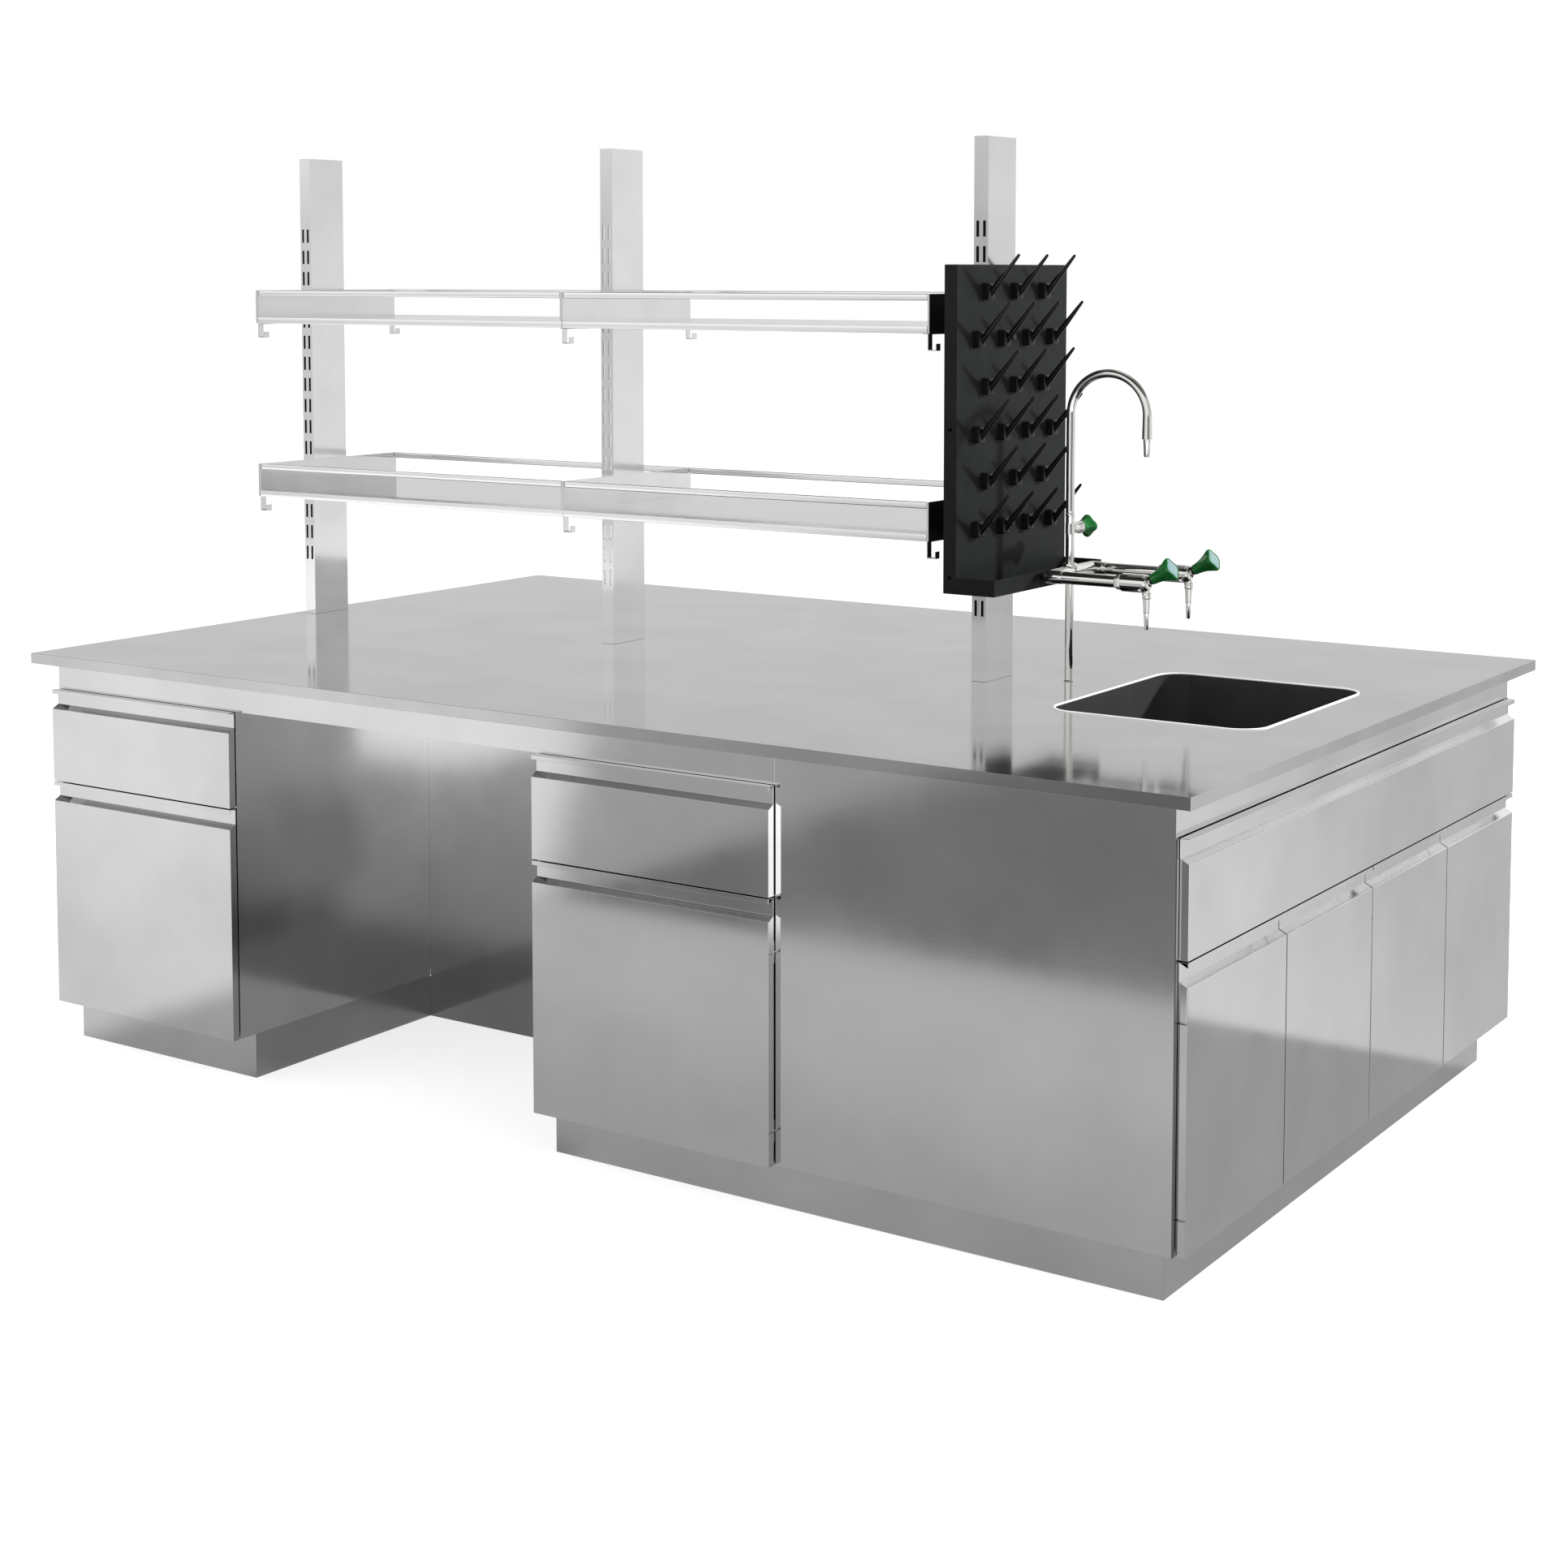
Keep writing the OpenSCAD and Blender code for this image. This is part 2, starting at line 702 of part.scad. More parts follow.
module right_shelf(top)
    shelf_board(shelf_starts(1), column_xs[2] - column_t * half - bracket_t - play, top);

module shelf_lower_left() left_shelf(shelf_tops[0]);
module shelf_upper_left() left_shelf(shelf_tops[1]);
module shelf_lower_right() right_shelf(shelf_tops[0]);
module shelf_upper_right() right_shelf(shelf_tops[1]);

// Bracket plate beside a column: dir is the side of the column that it lies on.
// Tabs with tongues hold it in the slots, a seat carries the board, and hooks hang below.
module bracket(x, dir, top, seats) {
    face = x + dir * column_t * half;
    low = min(face, face + dir * bracket_t);
    high = low + bracket_t;
    z0 = top - board_h;
    z1 = top + guard_rise;
    flange = dir > 0 ? bracket_flange : bracket_t;
    row_z = slot_z0 - floor((slot_z0 - z0) / slot_pitch) * slot_pitch;
    block([low, -shelf_d * half, z0 - bracket_t], [high, shelf_d * half, z1]);
    for (s = [-1, 1]) {
        mirror([0, s > 0 ? 1 : 0, 0]) {
            // Outward flange at the end of the plate
            block([dir > 0 ? low - flange : low, -shelf_d * half, z0],
                [dir > 0 ? high : high + flange, -shelf_d * half + bracket_t, z1]);
            // Hook under the end of the plate
            block([low, -shelf_d * half, z0 - hook_drop],
                [high, -shelf_d * half + hook_w, z0]);
            block([low, -shelf_d * half, z0 - hook_drop],
                [low + hook_l, -shelf_d * half + hook_w, z0 - hook_drop + bracket_t]);
            block([low + hook_l - bracket_t, -shelf_d * half, z0 - hook_drop],
                [low + hook_l, -shelf_d * half + hook_w, z0 - hook_drop + hook_up]);
            // Tab over the column's face with its tongue in the slot
            block([dir > 0 ? high - tab_l : low, -column_w * half - tab_t, row_z],
                [dir > 0 ? high : low + tab_l, -column_w * half, row_z + slot_h]);
            block([x + dir * slot_pair * half - slot_w * half + tongue_play,
                    -column_w * half - tab_t * half, row_z + tongue_play],
                [x + dir * slot_pair * half + slot_w * half - tongue_play,
                    -column_w * half + tongue_in, row_z + slot_h - tongue_play]);
            for (seat = seats)
                block([seat > 0 ? low : high - seat_w - bracket_t,
                        -shelf_d * half + hook_w, z0 - bracket_t],
                    [seat > 0 ? high + seat_w : high, -column_w * half - tab_t - tongue_play,
                        z0]);
        }
    }
}

module shelf_brackets(top) color(steel) {
    bracket(column_xs[0], 1, top, [1]);
    bracket(column_xs[1], 1, top, [-1, 1]);
    bracket(column_xs[2], -1, top, [-1]);
}

module shelf_brackets_lower() shelf_brackets(shelf_tops[0]);
module shelf_brackets_upper() shelf_brackets(shelf_tops[1]);

// Guard rails along the front and rear of both shelves, with a stub at each end.
// The left rails stop short of the middle bracket's flange.
module guard_rails(top) color(chrome) {
    ends = [
        [column_xs[0] + column_t * half + bracket_t, column_xs[1] + column_t * half,
            bracket_flange + play],
        [column_xs[1] + column_t * half + bracket_t, column_xs[2] - column_t * half - bracket_t,
            play]
    ];
    for (e = ends, s = [-1, 1]) mirror([0, s > 0 ? 1 : 0, 0]) {
        block([e[0] + guard_stub_l, -shelf_d * half, top + guard_rise - guard_h],
            [e[1] - e[2], -shelf_d * half + guard_t, top + guard_rise]);
        along_x(e[0], e[1], -shelf_d * half + guard_t * half + bracket_t * half,
            top + guard_rise - guard_h * half, guard_stub_d);
    }
}

module guard_rails_lower() guard_rails(shelf_tops[0]);
module guard_rails_upper() guard_rails(shelf_tops[1]);

// Moulded pegboard: a panel with side flanges, ribs against the column and a drip tray
module pegboard() color(black_plastic) difference() {
    union() {
        difference() {
            block([rack_x0, -peg_panel_w * half, rack_z0],
                [rack_x1, peg_panel_w * half, rack_z0 + peg_panel_h]);
            block([rack_x0 - over, -peg_panel_w * half + peg_wall, rack_z0 + peg_wall],
                [rack_x1 - peg_wall, peg_panel_w * half - peg_wall,
                    rack_z0 + peg_panel_h - peg_wall]);
        }
        for (z = rack_ribs())
            block([rack_x0, -rib_w * half, z], [rack_x1 - peg_wall * half, rib_w * half,
                z + rib_h]);
        difference() {
            block([rack_x1 - peg_wall, -peg_panel_w * half, rack_z0],
                [rack_x1 + tray_reach, peg_panel_w * half, rack_z0 + tray_h]);
            block([rack_x1, -peg_panel_w * half + peg_wall, rack_z0 + peg_wall],
                [rack_x1 + tray_reach - peg_wall, peg_panel_w * half - peg_wall,
                    rack_z0 + tray_h + over]);
        }
    }
    for (z = rack_ribs())
        along_x(rack_x0 - over, rack_x1 + over, 0, z + rib_h * half, screw_d + 2 * play);
    for (s = [-1, 1], z = [rack_hole_rise, peg_panel_h * half])
        along_y(rack_x0 + peg_panel_d * half, s * peg_panel_w * half - peg_wall * 2,
            s * peg_panel_w * half + peg_wall * 2, rack_z0 + z, rack_hole_d);
}

// The ribs lie at two rows of four, where the middle of the panel is free of pegs
function rack_ribs() = [for (row = [peg_rows - 1, 1])
    rack_z0 + peg_top - row * peg_row - rib_h * half];

// Rows of three and of four pegs in turn, each a collar with a rising tapered peg
module drying_pegs() color(black_plastic)
    for (row = [0:peg_rows - 1]) {
        count = row % 2 == 0 ? 3 : 4;
        step = row % 2 == 0 ? peg_wide : peg_narrow;
        for (i = [0:count - 1])
            translate([rack_x1, (i - (count - 1) * half) * step,
                rack_z0 + peg_top - row * peg_row]) peg();
    }

module peg() {
    rotate([0, 90, 0]) cylinder(h = collar_l, d1 = collar_d, d2 = collar_d - 2 * peg_wall);
    translate([peg_seat, 0, 0]) rotate([0, 45, 0])
        cylinder(h = (peg_reach - peg_seat) * sqrt(2), d1 = peg_foot_d, d2 = peg_tip_d);
    translate([peg_reach, 0, peg_reach - peg_seat]) sphere(d = peg_tip_d);
}

// Screws that hold the pegboard to the column, and the clips that hold the bowl
module fixing_screws() color(dark_steel) {
    for (z = rack_ribs()) {
        along_x(rack_x0 - column_wall, rack_x1 + screw_head_h * half, 0, z + rib_h * half,
            screw_d);
        along_x(rack_x1, rack_x1 + screw_head_h, 0, z + rib_h * half, screw_head_d);
    }
    for (s = [-1, 1], t = [-1, 0, 1]) mirror([0, s > 0 ? 1 : 0, 0])
        block([sink_mid + t * sink_l * half * half - clip_w * half,
                -sink_w * half - bowl_flange - clip_w, case_top - bowl_t - clip_t],
            [sink_mid + t * sink_l * half * half + clip_w * half,
                -sink_w * half - bowl_t - play, case_top - bowl_t]);
}

// Fixed tap pole with rosette, shank and nut
module tap_pole() color(chrome) difference() {
    union() {
        rod(tap_x, tap_y, case_top - shank_l, bench_h + swivel_up, pole_d);
        rod(tap_x, tap_y, bench_h, bench_h + rosette_h, rosette_d);
        rod(tap_x, tap_y, case_top - shank_nut_h, case_top, shank_nut_d);
        rod(tap_x, tap_y, bench_h + swivel_up - swivel_ring_h, bench_h + swivel_up,
            swivel_ring_d);
    }
    rod(tap_x, tap_y, case_top - shank_l - over, bench_h + swivel_up + over,
        pole_d - 2 * pole_wall);
}

// Manifold across the pole: a hub on the pole and a bar that feeds the two arms
module tap_manifold() color(chrome) difference() {
    union() {
        rod(tap_x, tap_y, manifold_z - hub_h * half, manifold_z + hub_h * half, hub_d);
        along_y(manifold_x, arm_ys[0], arm_ys[1], manifold_z, arm_d);
        for (y = arm_ys) {
            translate([manifold_x, y, manifold_z]) sphere(d = arm_d);
            along_x(manifold_x, manifold_x + tee_l, y, manifold_z, arm_d);
            along_x(manifold_x, outlet_x - valve_l, y, manifold_z, arm_d - pole_wall);
            along_x(outlet_x - valve_l - union_l, outlet_x - valve_l, y, manifold_z, union_d);
        }
    }
    rod(tap_x, tap_y, manifold_z - hub_h, manifold_z + hub_h, pole_d);
}

// Valve bodies at the ends of the arms and behind the pole, each with a bonnet and a stem
module tap_valves() color(chrome) {
    for (y = arm_ys) {
        along_x(outlet_x - valve_l, outlet_x, y, manifold_z, valve_d);
        translate([outlet_x, y, manifold_z]) {
            sphere(d = valve_d);
            rotate([0, 90 - handle_tilt, 0]) bonnet(valve_d * half);
        }
        rod(outlet_x + nozzle_off, y, manifold_z - valve_d * half - nozzle_collar_h,
            manifold_z, nozzle_collar_d);
    }
    translate([tap_x, tap_y, bench_h + rear_valve_up]) rotate([-90, 0, 0]) difference() {
        union() {
            cylinder(h = rear_valve_l, d = rear_valve_d);
            bonnet(rear_valve_l);
        }
        rotate([90, 0, 0]) cylinder(h = 2 * rear_valve_d, d = pole_d, center = true);
    }
}

// Bonnet that starts at a distance along the local axis, and the stem that the handle turns on
module bonnet(start) {
    translate([0, 0, start - over]) cylinder(h = bonnet_l - stem_l + over, d = bonnet_d);
    translate([0, 0, start]) cylinder(h = bonnet_l + half * stem_l, d = stem_d);
}

// Handle with a flared, four-winged body round the stem and a disc let into its end
module handle(start, l) color(green_plastic) translate([0, 0, start + bonnet_l - stem_l + play])
    difference() {
        union() {
            cylinder(h = l - cap_disc_t, d1 = handle_neck_d, d2 = handle_d - handle_neck_d * half);
            for (a = [0, 90]) rotate([90, 0, a])
                translate([0, 0, -handle_neck_d * half * half])
                linear_extrude(height = handle_neck_d * half) polygon([
                    [-handle_neck_d * half + cap_disc_t, 0],
                    [handle_neck_d * half - cap_disc_t, 0],
                    [handle_d * half - cap_disc_t * half, l - cap_disc_t],
                    [-handle_d * half + cap_disc_t * half, l - cap_disc_t]]);
            translate([0, 0, l - 3 * cap_disc_t])
                cylinder(h = 2 * cap_disc_t, d1 = handle_d - 2 * cap_disc_t, d2 = handle_d);
            translate([0, 0, l - cap_disc_t])
                cylinder(h = cap_disc_t, d1 = handle_d, d2 = handle_d - 2 * cap_disc_t);
        }
        translate([0, 0, -over])
            cylinder(h = 1.5 * stem_l + over, d = stem_d + 2 * running_play);
    }

module at_arm_end(i) translate([outlet_x, arm_ys[i], manifold_z])
    rotate([0, 90 - handle_tilt, 0]) children();

module tap_handle_front() at_arm_end(0) handle(valve_d * half, handle_l);
module tap_handle_rear() at_arm_end(1) handle(valve_d * half, handle_l);
module tap_handle_neck() translate([tap_x, tap_y, bench_h + rear_valve_up])
    rotate([-90, 0, 0]) handle(rear_valve_l, short_handle_l);

// Hose nozzles under the arms, each in two tapers with a step between
module tap_nozzles() color(chrome) for (y = arm_ys)
    translate([outlet_x + nozzle_off, y, manifold_z - valve_d * half - nozzle_collar_h]) {
        translate([0, 0, -nozzle_l * half])
            cylinder(h = nozzle_l * half, d1 = nozzle_d - pole_wall * 2, d2 = nozzle_d);
        translate([0, 0, -nozzle_l])
            cylinder(h = nozzle_l * half, d1 = nozzle_tip_d, d2 = nozzle_d - pole_wall * 3);
    }

// Swan neck: rises from the swivel, bows over towards the sink and ends above its nozzle
module swan_neck() color(chrome) {
    spring = bench_h + neck_top - neck_r;
    rod(tap_x, tap_y, bench_h + swivel_up + play, spring, pole_d);
    rod(tap_x, tap_y, bench_h + swivel_up + play, bench_h + swivel_up + play + swivel_ring_h,
        swivel_ring_d);
    translate([tap_x + neck_r, tap_y, spring]) rotate([90, 0, 0])
        rotate_extrude(angle = 180, $fn = 96) translate([neck_r, 0]) circle(d = pole_d);
    rod(tap_x + 2 * neck_r, tap_y, bench_h + outlet_up + neck_nozzle_l, spring, pole_d);
}

module swan_neck_nozzle() color(chrome)
    translate([tap_x + 2 * neck_r, tap_y, bench_h + outlet_up])
    cylinder(h = neck_nozzle_l, d1 = nozzle_tip_d + pole_wall, d2 = pole_d - 2 * pole_wall);

// Supply pipe from the tap's shank to the floor
module supply_pipe() color("#b87333") difference() {
    union() {
        rod(tap_x, tap_y, 0, case_top - shank_l, supply_d);
        rod(tap_x, tap_y, case_top - shank_l - shank_nut_h * 2, case_top - shank_l,
            shank_nut_d - foot_bolt_d);
        translate([tap_x, tap_y, coupling_up])
            cylinder(h = coupling_h, d = supply_d + 6 * back_t, $fn = 6);
    }
    rod(tap_x, tap_y, -over, case_top - shank_l + over, supply_d - 2 * back_t);
}

// Side panel of a cabinet, with the small step along the foot of a knee side
module side_panel(knee) {
    difference() {
        hollow([0, 0, plinth_h], [side_t, cabinet_d, case_top]);
        if (knee) block([-over, -over, plinth_h - over],
            [knee_step, cabinet_d + over, plinth_h + knee_step_h]);
    }
}

// Cabinet body from its left front corner: two sides, floor, back, rail and stretcher.
// knee is the side that faces the knee space: -1 left, 1 right.
module carcass(knee) color(steel) {
    translate([cabinet_w, 0, 0]) mirror([1, 0, 0]) side_panel(knee > 0);
    side_panel(knee < 0);
    low = side_t + play;
    high = cabinet_w - side_t - play;
    hollow([low, 0, plinth_h], [high, cabinet_d - back_t - play, plinth_h + floor_t]);
    block([low, cabinet_d - back_t, plinth_h], [high, cabinet_d, case_top]);
    hollow([low, 0, rail_z], [high, rail_d, rail_z + rail_h]);
    hollow([low, back_t + play, case_top - 2 * rail_h], [high, rail_d, case_top]);
}

module carcass_front_left() at_cabinet(body_x0, false) carcass(1);
module carcass_front_right() at_cabinet(knee_x1, false) carcass(-1);
module carcass_rear_left() at_cabinet(body_x0, true) carcass(1);
module carcass_rear_right() at_cabinet(knee_x1, true) carcass(-1);

// Drawer front over the full width of its cabinet
module drawer_front() color(steel)
    translate([0, -front_out, drawer_z]) folded_front(cabinet_w, drawer_front_h);

module drawer_front_front_left() at_cabinet(body_x0, false) drawer_front();
module drawer_front_front_right() at_cabinet(knee_x1, false) drawer_front();
module drawer_front_rear_left() at_cabinet(body_x0, true) drawer_front();
module drawer_front_rear_right() at_cabinet(knee_x1, true) drawer_front();

// Open drawer box behind the front, with the moving rail of a runner on each side
module drawer_box() color(steel) {
    x0 = side_t + runner_w;
    x1 = cabinet_w - side_t - runner_w;
    z0 = drawer_z + box_up;
    difference() {
        block([x0, -front_gap, z0], [x1, box_d - front_gap, z0 + box_h]);
        block([x0 + sheet_t, -front_gap + sheet_t, z0 + sheet_t],
            [x1 - sheet_t, box_d - front_gap - sheet_t, z0 + box_h + over]);
    }
    for (x = [x0 - runner_t - slide_bite, x1])
        block([x, play, z0 + runner_up + runner_t + play],
            [x + runner_t + slide_bite, box_d - rail_d,
                z0 + runner_up + runner_h - runner_t - play]);
}

module drawer_box_front_left() at_cabinet(body_x0, false) drawer_box();
module drawer_box_front_right() at_cabinet(knee_x1, false) drawer_box();
module drawer_box_rear_left() at_cabinet(body_x0, true) drawer_box();
module drawer_box_rear_right() at_cabinet(knee_x1, true) drawer_box();

// Fixed runner channels on the side panels of all four cabinets
module runner_pair() {
    z0 = drawer_z + box_up + runner_up;
    depth = runner_w - runner_t;
    for (m = [0, 1]) translate([m * cabinet_w, 0, 0]) mirror([m, 0, 0])
        difference() {
            block([side_t, play, z0], [side_t + depth, box_d - rail_d, z0 + runner_h]);
            block([side_t + runner_t, -over, z0 + runner_t],
                [side_t + depth + over, box_d, z0 + runner_h - runner_t]);
        }
}

module drawer_runners() color(dark_steel)
    for (x = [body_x0, knee_x1], rear = [false, true]) at_cabinet(x, rear) runner_pair();

// Cabinet doors, hinged on the side away from the knee space
module cabinet_door(right) color(steel)
    translate([right ? cabinet_w : 0, -front_out, plinth_h]) mirror([right ? 1 : 0, 0, 0])
    hinged_front(cabinet_w, door_h);

module door_front_left() at_cabinet(body_x0, false) cabinet_door(false);
module door_front_right() at_cabinet(knee_x1, false) cabinet_door(true);
module door_rear_left() at_cabinet(body_x0, true) cabinet_door(false);
module door_rear_right() at_cabinet(knee_x1, true) cabinet_door(true);

// Sink unit: side panels, inner wall, floor, centre post, front rails and backing rail
module sink_unit() color(steel) {
    low = sink_x0 + play;
    in_y = body_y - side_t - play;
    for (s = [0, 1]) mirror([0, s, 0])
        hollow([low, -body_y, plinth_h], [body_x1, -body_y + side_t, case_top]);
    hollow([low, -in_y, plinth_h + floor_t + play], [low + floor_t, in_y, case_top]);
    difference() {
        block([low, -in_y, plinth_h], [body_x1, in_y, plinth_h + sheet_t]);
        rod(drain_x, 0, plinth_h - over, plinth_h + floor_t + over, waste_pipe_d + 2 * play);
        rod(tap_x, tap_y, plinth_h - over, plinth_h + floor_t + over, supply_d + 2 * play);
    }
    for (s = [-1, 1]) {
        y0 = s > 0 ? side_t + play : -in_y;
        y1 = s > 0 ? in_y : -side_t - play;
        hollow([body_x1 - rail_d, y0, rail_z], [body_x1, y1, rail_z + rail_h]);
        hollow([body_x1 - rail_d, y0, rail_z + 4 * rail_h], [body_x1, y1,
            rail_z + 6 * rail_h]);
        hollow([body_x1 - rail_d, y0, case_top - 2 * rail_h],
            [body_x1 - back_t - play, y1, case_top]);
    }
    hollow([body_x1 - side_t, -side_t, plinth_h + sheet_t + play],
        [body_x1, side_t, case_top - apron_h - rail_h]);
}

// Fixed front above the sink doors, with the pads that hold it to the backing rail
module sink_fascia() color(steel) {
    w = 2 * (body_y - end_margin);
    at_sink_end(-w * half) translate([0, 0, drawer_z]) folded_front(w, drawer_front_h);
    for (s = [-1, 1], t = [1, 3])
        block([body_x1, s * t * w / 8 - rail_d, rail_z + 4 * rail_h + sheet_t],
            [body_x1 + front_gap, s * t * w / 8 + rail_d, rail_z + 6 * rail_h - sheet_t]);
}

sink_door_w = (2 * (body_y - end_margin) - 3 * door_gap) / 4;

// Doors 1 to 4 from the front to the rear: 1 and 3 hinge at their front edge,
// 2 and 4 at their rear edge
module sink_door(i) color(steel) {
    y0 = -body_y + end_margin + i * (sink_door_w + door_gap);
    at_sink_end(y0) translate([i % 2 == 0 ? 0 : sink_door_w, 0, plinth_h])
        mirror([i % 2, 0, 0]) hinged_front(sink_door_w, door_h);
}

module sink_door_1() sink_door(0);
module sink_door_2() sink_door(1);
module sink_door_3() sink_door(2);
module sink_door_4() sink_door(3);

// All the hinge leaves with their tongues and pins
module hinge_brackets() color(dark_steel) for (h = [hinge_low, hinge_high]) {
    for (x = [body_x0, knee_x1], rear = [false, true]) at_cabinet(x, rear) {
        right = x == knee_x1;
        translate([right ? cabinet_w : 0, -front_out, 0]) mirror([right ? 1 : 0, 0, 0])
            hinge_bracket(plinth_h + h);
    }
    for (i = [0:3])
        at_sink_end(-body_y + end_margin + i * (sink_door_w + door_gap))
            translate([i % 2 == 0 ? 0 : sink_door_w, 0, 0]) mirror([i % 2, 0, 0])
            hinge_bracket(plinth_h + h);
}

// One shelf in each cabinet with four pins that stand against the side panels
module cabinet_shelves() color(steel)
    for (x = [body_x0, knee_x1], rear = [false, true]) at_cabinet(x, rear) {
        z = plinth_h + floor_t + inner_shelf_up;
        hollow([side_t + play, inner_shelf_back, z],
            [cabinet_w - side_t - play, cabinet_d - back_t - play, z + inner_shelf_t]);
        for (px = [side_t, cabinet_w - side_t - peg_pin_l],
                py = [2 * inner_shelf_back, cabinet_d - inner_shelf_back])
            along_x(px, px + peg_pin_l, py, z - peg_pin_d * half + play, peg_pin_d);
    }

// Plinth boards on both long sides, both ends and round the knee spaces
module plinth() color(dark_steel) {
    py = body_y - plinth_back;
    px0 = body_x0 + plinth_in;
    px1 = body_x1 - plinth_back_end;
    back_y = service_w * half + back_t + play;
    for (s = [0, 1]) mirror([0, s, 0]) {
        block([px0, -py, 0], [knee_x0 - plinth_in, -py + plinth_t, plinth_h]);
        block([knee_x1 + plinth_in, -py, 0], [px1, -py + plinth_t, plinth_h]);
        block([knee_x0 - plinth_in - plinth_t, -py + plinth_t + play, 0],
            [knee_x0 - plinth_in, -back_y, plinth_h]);
        block([knee_x1 + plinth_in, -py + plinth_t + play, 0],
            [knee_x1 + plinth_in + plinth_t, -back_y, plinth_h]);
    }
    block([px0, -py + plinth_t + play, 0], [px0 + plinth_t, py - plinth_t - play, plinth_h]);
    block([px1 - plinth_t, -py + plinth_t + play, 0], [px1, py - plinth_t - play, plinth_h]);
}

// Panels that close the service space: behind each knee space and at the plain end
module service_panels() color(steel) {
    for (s = [0, 1]) mirror([0, s, 0])
        block([knee_x0, -service_w * half - back_t, 0], [knee_x1, -service_w * half, apron_z]);
    difference() {
        block([body_x0, -service_w * half + play, plinth_h],
            [body_x0 + back_t, service_w * half - play, case_top]);
        for (s = [-1, 1]) rod(column_xs[0], s * foot_bolt_off, case_top - foot_plate_t - play,
            case_top + over, foot_bolt_head_d + 2 * play);
    }
}

// Strips under the worktop: one along each long side and one across the sink end
module aprons() color(steel) {
    for (s = [0, 1]) mirror([0, s, 0]) {
        block([body_x0 + side_t + play, -body_y, apron_z],
            [knee_x0 - side_t - play, -body_y + back_t, case_top]);
        block([knee_x0 + play, -body_y, apron_z],
            [knee_x1 - play, -body_y + back_t, case_top]);
        block([knee_x1 + side_t + play, -body_y, apron_z],
            [sink_x0 - side_t - play, -body_y + back_t, case_top]);
        block([knee_x0, -service_w * half - back_t, apron_z + play],
            [knee_x1, -service_w * half, case_top]);
    }
    block([body_x1 - back_t, -body_y + side_t + play, apron_z],
        [body_x1, body_y - side_t - play, case_top]);
}

// Levelling feet under every cabinet and the sink unit
module levelling_foot() {
    cylinder(h = foot_pad_h, d = foot_d);
    cylinder(h = plinth_h, d = foot_stem_d);
    translate([0, 0, plinth_h - foot_nut_h])
        cylinder(h = foot_nut_h, d = 2 * foot_stem_d, $fn = 6);
}

module levelling_feet() color(dark_steel) {
    fy = [body_y - plinth_back - foot_in, service_w * half + foot_in];
    fx = [body_x0 + foot_in, knee_x0 - foot_in, knee_x1 + foot_in, sink_x0 - foot_in,
        body_x1 - plinth_back_end - foot_in];
    for (x = fx, y = fy, s = [-1, 1]) translate([x, s * y, 0]) levelling_foot();
}

worktop_skin();
worktop_core();
sink_bowl();
sink_waste();
sink_trap();
column_left();
column_middle();
column_right();
column_caps();
column_feet();
shelf_lower_left();
shelf_lower_right();
shelf_upper_left();
shelf_upper_right();
shelf_brackets_lower();
shelf_brackets_upper();
guard_rails_lower();
guard_rails_upper();
pegboard();
drying_pegs();
fixing_screws();
tap_pole();
tap_manifold();
tap_valves();
tap_nozzles();
swan_neck();
swan_neck_nozzle();
tap_handle_front();
tap_handle_rear();
tap_handle_neck();
supply_pipe();
carcass_front_left();
carcass_front_right();
carcass_rear_left();
carcass_rear_right();
drawer_front_front_left();
drawer_front_front_right();
drawer_front_rear_left();
drawer_front_rear_right();
drawer_box_front_left();
drawer_box_front_right();
drawer_box_rear_left();
drawer_box_rear_right();
door_front_left();
door_front_right();
door_rear_left();
door_rear_right();
sink_unit();
sink_fascia();
sink_door_1();
sink_door_2();
sink_door_3();
sink_door_4();
cabinet_shelves();
hinge_brackets();
drawer_runners();
plinth();
service_panels();
aprons();
levelling_feet();
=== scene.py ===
"""Laboratory bench with reagent shelf, sink and three-way tap, dressed around its CAD frame."""

import math

import bmesh
import bpy
from bpy.props import FloatProperty, FloatVectorProperty, IntProperty, PointerProperty
from mathutils import Matrix, Vector


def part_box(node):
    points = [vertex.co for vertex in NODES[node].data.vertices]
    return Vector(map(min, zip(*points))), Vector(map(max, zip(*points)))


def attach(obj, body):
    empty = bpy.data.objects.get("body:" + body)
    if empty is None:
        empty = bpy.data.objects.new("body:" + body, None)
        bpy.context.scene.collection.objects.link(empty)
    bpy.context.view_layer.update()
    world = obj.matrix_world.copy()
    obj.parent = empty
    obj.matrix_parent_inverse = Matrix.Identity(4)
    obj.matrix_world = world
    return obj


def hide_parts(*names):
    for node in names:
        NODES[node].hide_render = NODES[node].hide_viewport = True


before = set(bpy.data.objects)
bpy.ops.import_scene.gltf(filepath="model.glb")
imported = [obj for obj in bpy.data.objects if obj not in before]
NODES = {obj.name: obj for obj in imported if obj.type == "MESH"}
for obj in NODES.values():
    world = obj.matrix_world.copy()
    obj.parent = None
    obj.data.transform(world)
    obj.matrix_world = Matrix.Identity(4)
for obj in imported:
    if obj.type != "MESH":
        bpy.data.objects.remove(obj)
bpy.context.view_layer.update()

bl_info = {
    "name": "Laboratory bench",
    "version": (1, 0, 0),
    "blender": (4, 5, 0),
    "location": "3D View > Sidebar > Lab bench",
    "description": "Dresses the frame of a laboratory bench in steel, chrome and plastic",
    "category": "Object",
}

MM = 0.001
SETTINGS = "lab_bench"
CABINETS = ("front_left", "front_right", "rear_left", "rear_right")

